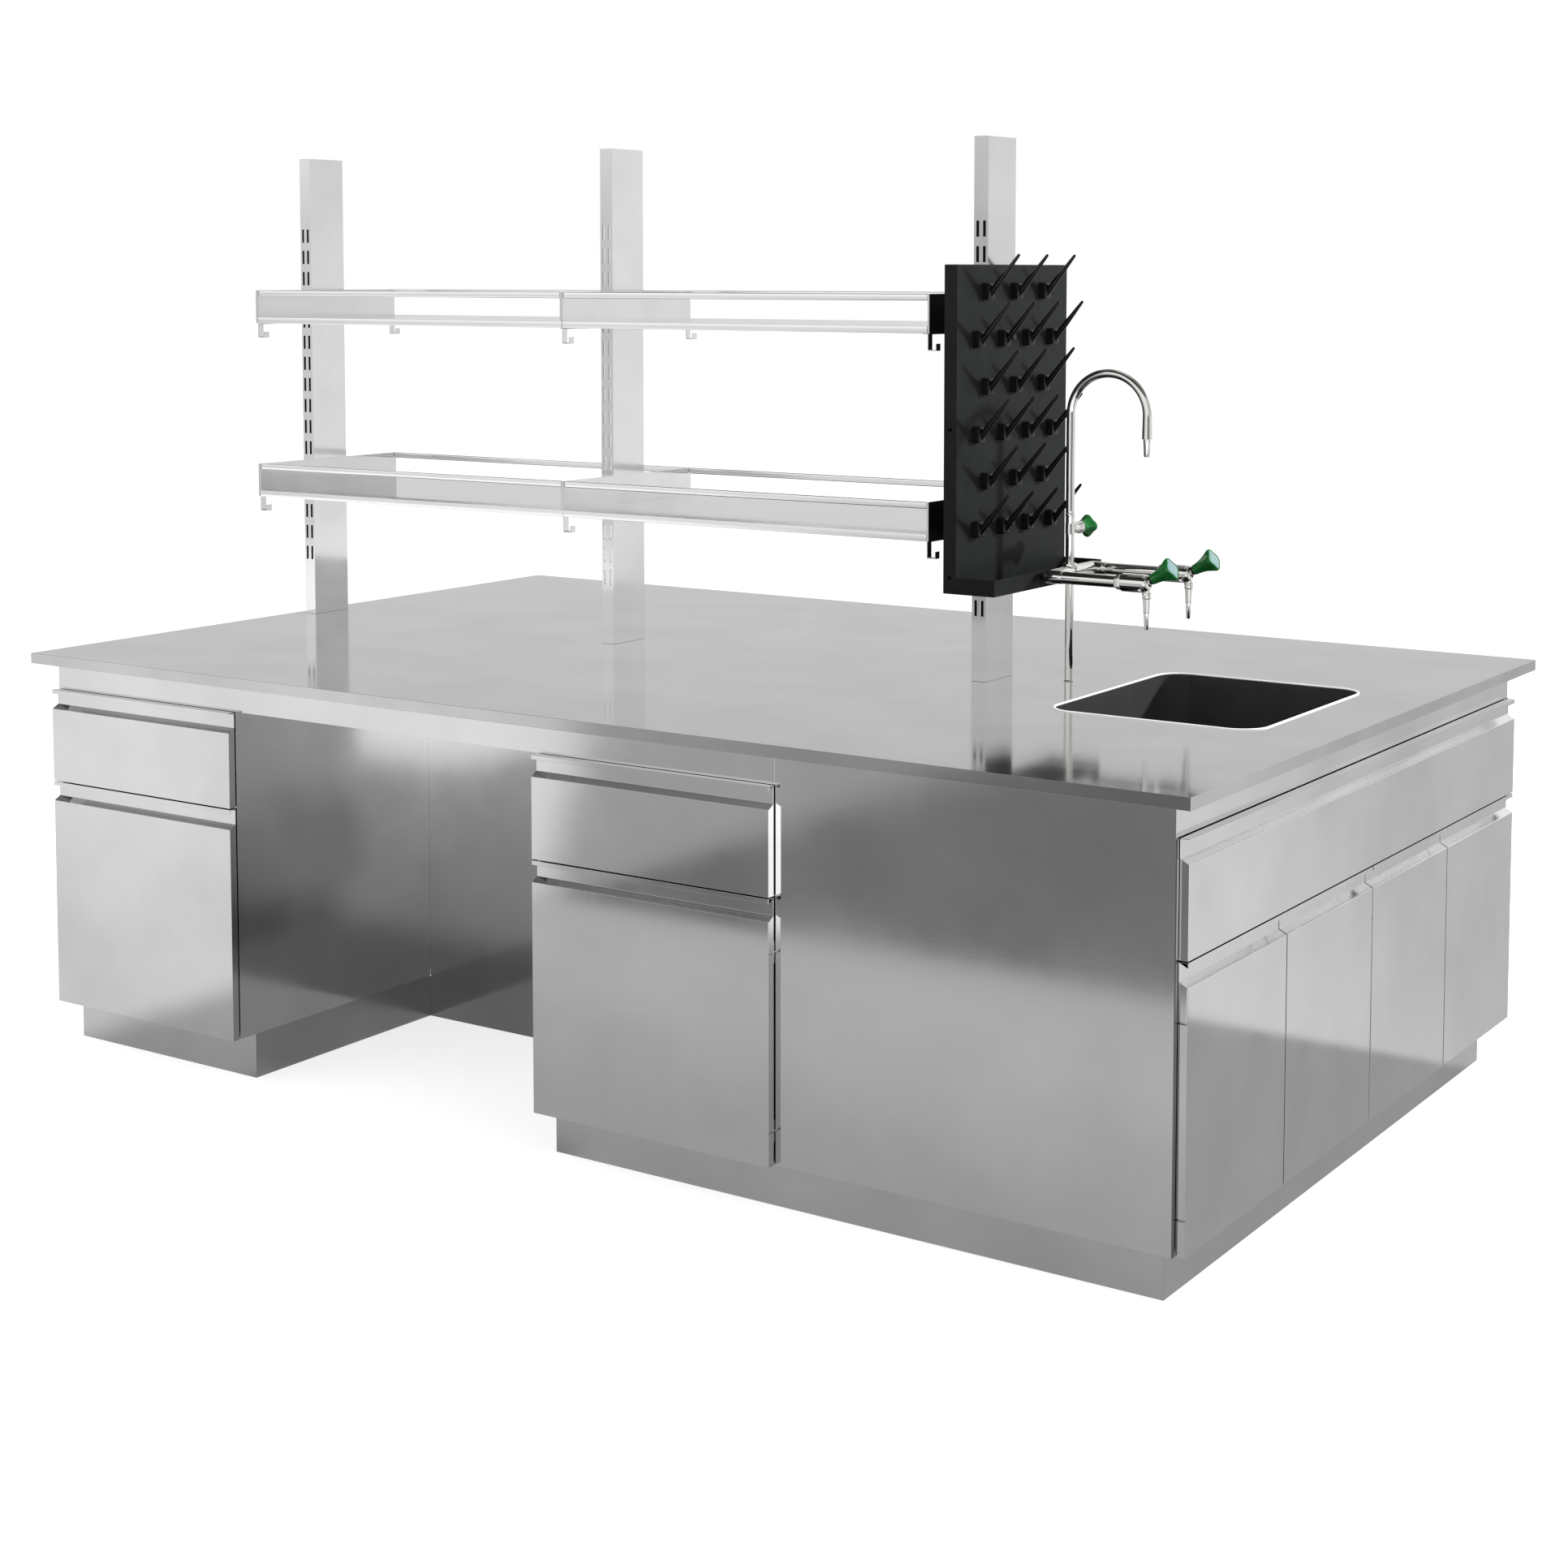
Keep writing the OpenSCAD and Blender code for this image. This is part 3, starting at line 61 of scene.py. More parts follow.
# Places in the shared frame, in millimetres, as in the CAD source
WORKTOP_Z = 850.0
PLINTH_Z = 90.0
PANEL_Y = 226.0
TAP_X, TAP_Y = 664.0, 57.0
POLE_R = 8.75
ARM_YS = (-37.0, 151.0)
MANIFOLD_X, MANIFOLD_Z = 666.0, 1068.0
OUTLET_X = 874.0
NECK_VALVE_Z = 1154.0
HANDLE_TILT = math.radians(30.0)
HANDLE_WAY = (math.cos(HANDLE_TILT), 0.0, math.sin(HANDLE_TILT))
SINK_XS, SINK_Y, SINK_CORNER = (782.0, 1203.0), 266.0, 55.0
RACK_X = 565.5
RACK_ROWS = (1627.0, 1535.0, 1443.0, 1351.0, 1259.0, 1167.0)
GUARD_T = 8.0

# Angle between faces, in degrees, above which an edge is sharp or rounded
CREASE = 32.0

# Kinds of texture, and the values that most of a noise lies between
NOISE, CELLS = "ShaderNodeTexNoise", "ShaderNodeTexVoronoi"
USUAL = (0.3, 0.7)

# Size of the rolling grain along X, Y and Z. It is about 0.05 mm wide in real sheet, and is
# drawn 1.2 mm wide so that it shows
THIN_X, THIN_Y, THIN_Z = (1.2, 60.0, 60.0), (60.0, 1.2, 60.0), (60.0, 60.0, 1.2)
ALONG_X, LONG_X, ALONG_Z = (60.0, 1.2, 1.2), (90.0, 1.2, 1.2), (1.2, 1.2, 80.0)

# What the steel mirrors of the floor. Each row names a field, the coordinate in metres that it
# follows, where it starts and ends, and its brightness before and after: a number or a field
FLOOR_FIELDS = (
    ("front", "y", -0.85, -2.1, 0.5, 0.67),
    # Painted shade: the mirrored floor is dimmer under the knee space, standing for the bench's
    # shadow there
    ("knee", "x", -0.86, -0.76, 0.46, 0.24),
    ("knee", "x", 0.1, 0.0, 0.46, "knee"),
    ("front", "y", -0.95, -0.62, "front", "knee"),
    ("rear", "far_side", -2.9, -1.6, 0.92, 0.68),
    ("near", "y", 0.66, 0.74, "front", "rear"),
    ("far", "x", 0.92, 1.15, 0.24, 2.4),
    ("far", "x", -1.14, -1.3, "far", 0.5),
    ("whole", "y", -2.36, -2.5, "near", "far"),
    # The light field on the left keeps clear of the bench, then spreads away from it
    ("left", "y", -0.8, -3.6, 0.92, 1.12),
    ("whole", "slant", 0.64, 0.42, "whole", "left"),
)

# What the steel mirrors of the studio, as layers that each take over between two heights, the
# first from below. Each direction round the bench has its brightness, all angles in degrees
STUDIO_LAYERS = (
    (-100.0, -95.0, (
        (-180, 0.8), (-168, 0.8), (-163, 0.05), (-142, 0.05), (-136, 0.7), (-106, 0.62),
        (-102, 1.0), (-70, 1.0), (-66, 0.35), (-30, 0.35), (-27, 0.03), (-17, 0.03),
        (-14, 0.75), (46, 0.8), (56, 1.0), (80, 1.0), (104, 0.72), (150, 0.74), (180, 0.8))),
    (0.0, 5.0, (
        (-180, 0.8), (-160, 0.9), (-150, 1.0), (-46, 1.0), (-30, 0.6), (46, 0.6), (54, 1.0),
        (84, 1.0), (104, 0.74), (142, 0.74), (180, 0.8))),
    (29.0, 35.0, (
        (-180, 0.2), (-156, 0.03), (-60, 0.03), (-30, 0.16), (66, 0.2), (82, 0.75),
        (118, 0.75), (132, 0.22), (180, 0.2))),
    (68.0, 78.0, ((-180, 0.38), (180, 0.38))),
)


# Colour and shader nodes

def linear(code):
    """Turns an sRGB hex colour into the linear values that shaders use."""
    parts = [int(code[i:i + 2], 16) / 255 for i in (1, 3, 5)]
    return tuple(p / 12.92 if p <= 0.04045 else ((p + 0.055) / 1.055) ** 2.4 for p in parts)


def toned(colour, factor):
    """A colour made darker or lighter by a factor."""
    return tuple(min(1.0, part * factor) for part in colour)


def add(tree, kind, inputs=None, stops=(), **settings):
    """Adds one node with its settings, input values or links, and grey stops on its ramp, and
    gives its outputs."""
    node = tree.nodes.new(kind)
    for name, value in settings.items():
        setattr(node, name, value)
    for key, value in (inputs or {}).items():
        if isinstance(value, bpy.types.NodeSocket):
            tree.links.new(value, node.inputs[key])
        else:
            node.inputs[key].default_value = value
    if stops:
        ramp = node.color_ramp
        while len(ramp.elements) < len(stops):
            ramp.elements.new(1.0)
        for element, (place, value) in zip(ramp.elements, stops):
            element.position = place
            element.color = (value, value, value, 1)
    return node.outputs


def fresh(name):
    """An empty node material and its tree."""
    material = bpy.data.materials.new(name)
    material.use_nodes = True
    material.node_tree.nodes.clear()
    return material, material.node_tree


def surface(name, colours, roughness, reliefs, sockets):
    """Builds the material of one surface. A pattern is a kind of texture, its size in
    millimetres along each axis and its detail. colours and each row of roughness give a
    pattern, two of its values and what the surface has there; rows of roughness add up.
    reliefs gives patterns and their depths in millimetres, the lowest first."""
    material, tree = fresh(name)
    place = add(tree, "ShaderNodeTexCoord")["Object"]
    place = add(tree, "ShaderNodeVectorMath", {0: place, "Scale": 1 / MM}, operation="SCALE")[0]
    textures = {}
    for pattern in dict.fromkeys(row[0] for row in (colours, *roughness, *reliefs)):
        kind, size, detail = pattern
        scaled = add(tree, "ShaderNodeVectorMath", {0: place, 1: tuple(1 / s for s in size)},
                     operation="MULTIPLY")[0]
        textures[pattern] = add(tree, kind, {"Vector": scaled, "Scale": 1.0,
                                             "Detail": detail})[0]
    spread = []
    for pattern, low, high, first, second in ((*colours[:3], 0.0, 1.0), *roughness):
        spread.append(add(tree, "ShaderNodeMapRange",
                          {"Value": textures[pattern], "From Min": low, "From Max": high,
                           "To Min": first, "To Max": second})[0])
    dark, light = ((*colour, 1.0) for colour in colours[3:])
    inputs = dict(sockets)
    inputs["Base Color"] = add(tree, "ShaderNodeMix", {0: spread[0], 6: dark, 7: light},
                               data_type="RGBA")[2]
    for share in spread[1:]:
        inputs["Roughness"] = add(tree, "ShaderNodeMath",
                                  {0: inputs.get("Roughness", 0.0), 1: share})[0]
    for pattern, depth in reliefs:
        below = {"Normal": inputs["Normal"]} if "Normal" in inputs else {}
        inputs["Normal"] = add(tree, "ShaderNodeBump",
                               {"Height": textures[pattern], "Strength": 1.0,
                                "Distance": depth * MM, **below})[0]
    shader = add(tree, "ShaderNodeBsdfPrincipled", inputs)[0]
    add(tree, "ShaderNodeOutputMaterial", {"Surface": shader})
    return material


# Materials, each from what the real one is

def stainless_sheet(name, tint, smooth, grain=ALONG_X, wave=0.02, cloud=0.06):
    """Cold-rolled stainless steel sheet with a bright finish: clear but slightly soft
    reflections, rolling grain along one axis and a faint waviness from the folding."""
    clouds = (NOISE, (230.0, 190.0, 210.0), 3.0)
    streaks = (NOISE, grain, 2.0)
    waves = (NOISE, (170.0, 170.0, 170.0), 1.0)
    return surface(name, (clouds, *USUAL, toned(tint, 1 - cloud), toned(tint, 1 + cloud)),
                   [(clouds, *USUAL, smooth - 0.02, smooth + 0.03),
                    (streaks, *USUAL, -0.012, 0.012)],
                   [(waves, wave), (streaks, 0.0012)], {"Metallic": 1.0})


def polished_chrome(name, tint):
    """Chromium plate over brass: mirror-bright, with faint wiping marks."""
    marks = (NOISE, (9.0, 9.0, 24.0), 3.0)
    return surface(name, (marks, *USUAL, toned(tint, 0.96), tint), [(marks, *USUAL, 0.03, 0.07)],
                   [((NOISE, (30.0, 30.0, 60.0), 2.0), 0.004)], {"Metallic": 1.0})


def zinc_plated_steel(name, tint):
    """Zinc-plated steel of fixings and runners: grey, satin and slightly spangled."""
    spangle = (CELLS, (3.0, 3.0, 3.0), 0.0)
    return surface(name, (spangle, 0.1, 0.9, toned(tint, 0.8), tint),
                   [(spangle, 0.1, 0.9, 0.3, 0.45)], [((NOISE, (0.8, 0.8, 0.8), 2.0), 0.01)],
                   {"Metallic": 1.0})


def moulded_plastic(name, tint, smooth, grain, depth, fade=0.15, sheen=0.5):
    """Moulded polypropylene, ABS, nylon or epoxy, and the white bead that paints the sink rim's
    highlight:
    even colour, soft gloss and the fine texture that the mould leaves."""
    shade = (NOISE, (40.0, 40.0, 40.0), 3.0)
    return surface(name, (shade, *USUAL, toned(tint, 1 - fade), toned(tint, 1 + fade)),
                   [(shade, *USUAL, smooth - 0.03, smooth + 0.04)],
                   [((NOISE, (grain, grain, grain), 2.0), depth)],
                   {"IOR": 1.49, "Specular IOR Level": sheen})


def copper_tube(name, tint, tarnish):
    """Drawn copper tube: warm metal with brown tarnish in soft patches."""
    patches = (NOISE, (18.0, 18.0, 45.0), 4.0)
    return surface(name, (patches, 0.4, 0.7, tint, tarnish), [(patches, *USUAL, 0.22, 0.4)],
                   [((NOISE, (1.5, 1.5, 40.0), 2.0), 0.004)], {"Metallic": 1.0})


def melamine_faced_chipboard(name, chip, resin):
    """Pressed chipboard under grey melamine paper: satin, with the chips showing faintly."""
    chips = (CELLS, (6.0, 4.0, 1.5), 0.0)
    return surface(name, (chips, 0.1, 0.8, chip, resin), [], [(chips, 0.02)],
                   {"Roughness": 0.45})


# Meshes, built in millimetres

def rounded_rectangle(half_x, half_y, corner, steps):
    """Points of a rectangle with rounded corners round its centre, steps + 1 a corner."""
    points = []
    for quarter, (sx, sy) in enumerate(((1, 1), (-1, 1), (-1, -1), (1, -1))):
        for i in range(steps + 1):
            turn = math.radians(90 * (quarter + i / steps))
            points.append((sx * (half_x - corner) + corner * math.cos(turn),
                           sy * (half_y - corner) + corner * math.sin(turn)))
    return points


class Shell:
    """Collects the points and faces of one piece, in millimetres."""

    def __init__(self):
        self.points, self.faces = [], []

    def bar(self, first, second, corner=0.2, steps=1):
        """A straight bar along X between two opposite corners, with its long edges rounded."""
        low, high = (Vector(map(pick, first, second)) for pick in (min, max))
        middle, half = (low + high) / 2, (high - low) / 2
        outline = rounded_rectangle(half.y, half.z, corner, steps)
        self.loft([[Vector((x, middle.y + y, middle.z + z)) for y, z in outline]
                   for x in (low.x, high.x)])

    def loft(self, rings, joined=False):
        """Skins closed rings of equal count, in order: joined to a loop, or with flat ends."""
        start, count = len(self.points), len(rings[0])
        for ring in rings:
            self.points += [Vector(p) for p in ring]
        steps = len(rings) if joined else len(rings) - 1
        for i in range(steps):
            low = start + i * count
            high = start + (i + 1) % len(rings) * count
            for j in range(count):
                k = (j + 1) % count
                self.faces.append((low + j, low + k, high + k, high + j))
        if not joined:
            self.faces.append(tuple(range(start + count - 1, start - 1, -1)))
            end = start + (len(rings) - 1) * count
            self.faces.append(tuple(range(end, end + count)))

    def turn(self, profile, axis, sides=48, lobes=None):
        """Turns a profile of (radius, height) round the local Z axis of a seat matrix.
        lobes gives a factor on the radius for an angle and a height."""
        rings = []
        for radius, height in profile:
            ring = []
            for j in range(sides):
                angle = 2 * math.pi * j / sides
                r = radius * (lobes(angle, height) if lobes else 1.0)
                ring.append(axis @ Vector((r * math.cos(angle), r * math.sin(angle), height)))
            rings.append(ring)
        self.loft(rings)

    def sweep(self, path, radii, side, sides=40):
        """A round bar along a flat path; side is the direction square to its plane."""
        rings = []
        for i, point in enumerate(path):
            ahead = path[min(i + 1, len(path) - 1)] - path[max(i - 1, 0)]
            across = ahead.normalized().cross(side)
            ring = []
            for j in range(sides):
                angle = 2 * math.pi * j / sides
                ring.append(point + (across * math.cos(angle) + side * math.sin(angle)) * radii[i])
            rings.append(ring)
        self.loft(rings)

    def piece(self, name, material, body, crease=CREASE):
        """Makes the object, with smooth faces and sharp edges above the crease angle."""
        mesh = bpy.data.meshes.new(name)
        mesh.from_pydata([p * MM for p in self.points], [], self.faces)
        work = bmesh.new()
        work.from_mesh(mesh)
        bmesh.ops.recalc_face_normals(work, faces=work.faces)
        work.to_mesh(mesh)
        work.free()
        mesh.polygons.foreach_set("use_smooth", [True] * len(mesh.polygons))
        mesh.set_sharp_from_angle(angle=math.radians(crease))
        mesh.materials.append(material)
        made = bpy.data.objects.new(name, mesh)
        bpy.context.scene.collection.objects.link(made)
        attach(made, body)
        return made


def seat(place, direction=(0, 0, 1)):
    """A frame at a place whose Z axis points along a direction."""
    turned = Vector(direction).to_track_quat("Z", "X").to_matrix().to_4x4()
    return Matrix.Translation(Vector(place)) @ turned


TAP_AXIS = seat((TAP_X, TAP_Y, 0.0))


def arc(centre, radius, start, end, steps):
    """Points of (radius, height) on an arc for a profile, angles in degrees."""
    out = []
    for i in range(steps + 1):
        angle = math.radians(start + (end - start) * i / steps)
        out.append((centre[0] + radius * math.cos(angle), centre[1] + radius * math.sin(angle)))
    return out


def rounded_edge(profile, size):
    """Cuts the corners of a profile of (radius, height) by a small rounding."""
    out = [profile[0]]
    for before, here, after in zip(profile, profile[1:], profile[2:]):
        here = Vector(here)
        back, ahead = Vector(before) - here, Vector(after) - here
        cut = min(size, back.length / 3, ahead.length / 3)
        back, ahead = back.normalized() * cut, ahead.normalized() * cut
        out += [tuple(here + back), tuple(here + (back + ahead) * 0.3), tuple(here + ahead)]
    out.append(profile[-1])
    return out


def box_outline(half_x, half_y, corner, steps=12, side_steps=8):
    """Directions from the centre to the points of a rounded rectangle, its sides divided."""
    points = [Vector(p) for p in rounded_rectangle(half_x, half_y, corner, steps)]
    angles = []
    for i, point in enumerate(points):
        angles.append(math.atan2(point.y, point.x))
        if i % (steps + 1) == steps:
            for j in range(1, side_steps):
                p = point.lerp(points[(i + 1) % len(points)], j / side_steps)
                angles.append(math.atan2(p.y, p.x))
    return angles


def box_ring(angles, centre, half_x, half_y, corner, z):
    """The rounded rectangle's points in the given directions, at one height."""
    ring = []
    for angle in angles:
        c, s = abs(math.cos(angle)), abs(math.sin(angle))
        if c * (half_y - corner) >= s * half_x:
            reach = half_x / c
        elif s * (half_x - corner) >= c * half_y:
            reach = half_y / s
        else:
            cx, cy = half_x - corner, half_y - corner
            along = c * cx + s * cy
            reach = along + math.sqrt(max(0.0, along ** 2 - cx ** 2 - cy ** 2 + corner ** 2))
        ring.append(Vector((centre[0] + reach * math.cos(angle),
                            centre[1] + reach * math.sin(angle), z)))
    return ring


def corners(node):
    """A CAD node's lowest and highest corners at rest, in millimetres."""
    return [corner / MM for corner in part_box(node)]


def dress(node, material, bevel=0.0):
    """Gives a CAD node its material, and where asked a small rounding on its edges."""
    part = NODES[node]
    part.data.materials.clear()
    part.data.materials.append(material)
    if not bevel:
        return
    if "custom_normal" in part.data.attributes:
        part.data.attributes.remove(part.data.attributes["custom_normal"])
    part.data.polygons.foreach_set("use_smooth", [True] * len(part.data.polygons))
    weld = part.modifiers.new("weld", "WELD")
    weld.merge_threshold = 0.01 * MM
    flat = part.modifiers.new("flat", "DECIMATE")
    flat.decimate_type = "DISSOLVE"
    flat.angle_limit = math.radians(0.5)
    rounding = part.modifiers.new("rounding", "BEVEL")
    rounding.width = bevel * MM
    rounding.segments = 2
    rounding.limit_method = "ANGLE"
    rounding.angle_limit = math.radians(CREASE)
    rounding.use_clamp_overlap = False
    rounding.harden_normals = True


# Settings that a user would change

def colour_setting(name, description, code):
    """A colour in the panel, from its sRGB hex value."""
    return FloatVectorProperty(name=name, description=description, subtype="COLOR",
                               default=linear(code), min=0.0, max=1.0)


class LabBenchSettings(bpy.types.PropertyGroup):
    """Sizes and colours of the dressed bench."""

    edge_rounding: FloatProperty(
        name="Edge rounding", description="Rounding on the folded steel edges, in millimetres",
        default=0.55, min=0.1, max=0.59)
    handle_lobes: IntProperty(
        name="Handle lobes", description="Number of wings on each tap handle", default=4,
        min=3, max=8)
    lobe_depth: FloatProperty(
        name="Lobe depth", description="Depth of the wings as a share of the handle's radius",
        default=0.11, min=0.0, max=0.3, subtype="FACTOR")
    steel: colour_setting("Steel", "Colour of the steel sheet", "#CDCDCD")
    worktop: colour_setting("Worktop", "Colour of the worktop sheet", "#B9B9BA")
    plinth: colour_setting("Plinth", "Colour of the plinth boards", "#C4C4C4")
    chrome: colour_setting("Chrome", "Colour of the tap and the sink's strainer", "#E9E7E4")
    rail: colour_setting("Rail", "Colour of the guard rails and the shelves' edges", "#FAFAF9")
    handle: colour_setting("Handle", "Colour of the tap handles", "#175D28")
    disc: colour_setting("Handle disc", "Colour of the discs in the handles", "#647D7D")
    rack: colour_setting("Rack", "Colour of the pegboard", "#1A1B1B")
    pegs: colour_setting("Pegs", "Colour of the drying pegs", "#101011")
    bowl: colour_setting("Bowl", "Colour of the sink bowl", "#2E2E2F")
    studio: FloatProperty(
        name="Studio", description="Brightness of what the steel reflects", default=1.0,
        min=0.1, max=3.0)


class BenchStep:
    """What the steps of dressing the bench share."""

    bl_options = {"REGISTER", "UNDO"}

    def settings(self, context):
        return getattr(context.scene, SETTINGS)


class LABBENCH_OT_stage(BenchStep, bpy.types.Operator):
    """Makes the floor, the studio round the bench and the lights"""

    bl_idname = "lab_bench.stage"
    bl_label = "Floor, studio and lights"

    def execute(self, context):
        strength, aim = self.settings(context).studio, Vector((0, 0, 0.9))
        self.plane("floor", 60.0, 0.0, self.floor_material(), {"visible_glossy": False})
        self.plane("reflected_floor", 8.0, 0.0005, self.reflected_floor(strength),
                   {"visible_camera": False, "visible_diffuse": False,
                    "visible_transmission": False, "visible_shadow": False})
        self.studio(context.scene, strength)
        for name, place, size, power in (
                ("softbox_left", (-3.2, -4.2, 4.2), 3.0, 60.0),
                ("softbox_right", (4.4, -2.6, 3.6), 2.4, 35.0),
                # Throws the pegs' shadows up the board
                ("softbox_behind", (3.8, 3.5, 2.8), 0.35, 560.0)):
            data = bpy.data.lights.new(name, "AREA")
            data.size, data.energy = size, power
            lamp = bpy.data.objects.new(name, data)
            lamp.location = place
            lamp.rotation_euler = (aim - Vector(place)).to_track_quat("-Z", "Y").to_euler()
            lamp.visible_glossy = False
            context.scene.collection.objects.link(lamp)
        context.scene.view_settings.view_transform = "Standard"
        return {"FINISHED"}

    def plane(self, name, reach, height, material, shown):
        """A square floor; shown says which rays meet it"""
        mesh = bpy.data.meshes.new(name)
        mesh.from_pydata([(x * reach, y * reach, height)
                          for x, y in ((-1, -1), (1, -1), (1, 1), (-1, 1))], [], [(0, 1, 2, 3)])
        mesh.materials.append(material)
        made = bpy.data.objects.new(name, mesh)
        for setting, value in shown.items():
            setattr(made, setting, value)
        bpy.context.scene.collection.objects.link(made)

    def floor_material(self):
        """White studio floor, lit from within so that only a faint contact shadow shows"""
        material, tree = fresh("studio_floor_white")
        glow = add(tree, "ShaderNodeEmission", {"Color": (1, 1, 1, 1), "Strength": 0.74})[0]
        paint = add(tree, "ShaderNodeBsdfDiffuse", {"Color": (0.42, 0.42, 0.42, 1)})[0]
        both = add(tree, "ShaderNodeAddShader", {0: glow, 1: paint})[0]
        add(tree, "ShaderNodeOutputMaterial", {"Surface": both})
        material.cycles.emission_sampling = "NONE"
        return material

    def reflected_floor(self, strength):
        """Grey and white floor fields that the steel mirrors, as in the photographed studio"""
        material, tree = fresh("studio_floor_fields")
        place = add(tree, "ShaderNodeTexCoord")["Object"]
        x, y, _ = add(tree, "ShaderNodeSeparateXYZ", {0: place})
        far_side = add(tree, "ShaderNodeMath", {0: x, 1: -1.93, 2: y},
                       operation="MULTIPLY_ADD")[0]
        near_edge = add(tree, "ShaderNodeMath", {0: y, 1: -2.48}, operation="MINIMUM")[0]
        slant = add(tree, "ShaderNodeMath", {0: near_edge, 1: -0.74, 2: x},
                    operation="MULTIPLY_ADD")[0]
        known = {"x": x, "y": y, "far_side": far_side, "slant": slant}
        for name, along, start, end, before, after in FLOOR_FIELDS:
            known[name] = add(tree, "ShaderNodeMapRange",
                              {"Value": known[along], "From Min": start, "From Max": end,
                               "To Min": known.get(before, before),
                               "To Max": known.get(after, after)},
                              interpolation_type="SMOOTHSTEP")[0]
        glow = add(tree, "ShaderNodeEmission", {"Color": (strength, strength, strength, 1),
                                                "Strength": known["whole"]})[0]
        add(tree, "ShaderNodeOutputMaterial", {"Surface": glow})
        material.cycles.emission_sampling = "NONE"
        return material

    def studio(self, scene, strength):
        """White to the camera and to matt surfaces; softboxes and dark flags to glossy ones"""
        world = bpy.data.worlds.new("studio")
        scene.world = world
        world.use_nodes = True
        tree = world.node_tree
        tree.nodes.clear()
        way = add(tree, "ShaderNodeTexCoord")["Generated"]
        x, y, z = add(tree, "ShaderNodeSeparateXYZ", {0: way})
        height = add(tree, "ShaderNodeMath", {0: z}, operation="ARCSINE")[0]
        turn = add(tree, "ShaderNodeMath", {0: y, 1: x}, operation="ARCTAN2")[0]
        turn = add(tree, "ShaderNodeMapRange",
                   {"Value": turn, "From Min": -math.pi, "From Max": math.pi})[0]
        seen = 0.0
        for start, end, stops in STUDIO_LAYERS:
            places = [((angle + 180) / 360, value) for angle, value in stops]
            layer = add(tree, "ShaderNodeValToRGB", {0: turn}, stops=places)[0]
            seen = add(tree, "ShaderNodeMapRange",
                       {"Value": height, "From Min": math.radians(start),
                        "From Max": math.radians(end), "To Min": seen, "To Max": layer},
                       interpolation_type="SMOOTHSTEP")[0]
        glossy = add(tree, "ShaderNodeLightPath")["Is Glossy Ray"]
        seen = add(tree, "ShaderNodeMix", {0: glossy, 2: 1.0, 3: seen})[0]
        glow = add(tree, "ShaderNodeBackground", {"Color": seen, "Strength": strength})[0]
        add(tree, "ShaderNodeOutputWorld", {"Surface": glow})
        world.cycles.sampling_method = "NONE"


class LABBENCH_OT_camera(BenchStep, bpy.types.Operator):
    """Places the camera at the photograph's viewing angle"""

    bl_idname = "lab_bench.camera"
    bl_label = "Camera"

    def execute(self, context):
        downward, round_z = 0.0773, 0.5920
        data = bpy.data.cameras.new("photograph")
        data.lens, data.sensor_width, data.shift_y = 58.452, 36.0, -0.20
        data.clip_start, data.clip_end = 0.1, 200.0
        made = bpy.data.objects.new("photograph", data)
        made.location = (2.9976, -4.4297, 1.6593)
        made.rotation_euler = (math.pi / 2 - downward, 0.0, round_z)
        context.scene.collection.objects.link(made)
        context.scene.camera = made
        return {"FINISHED"}


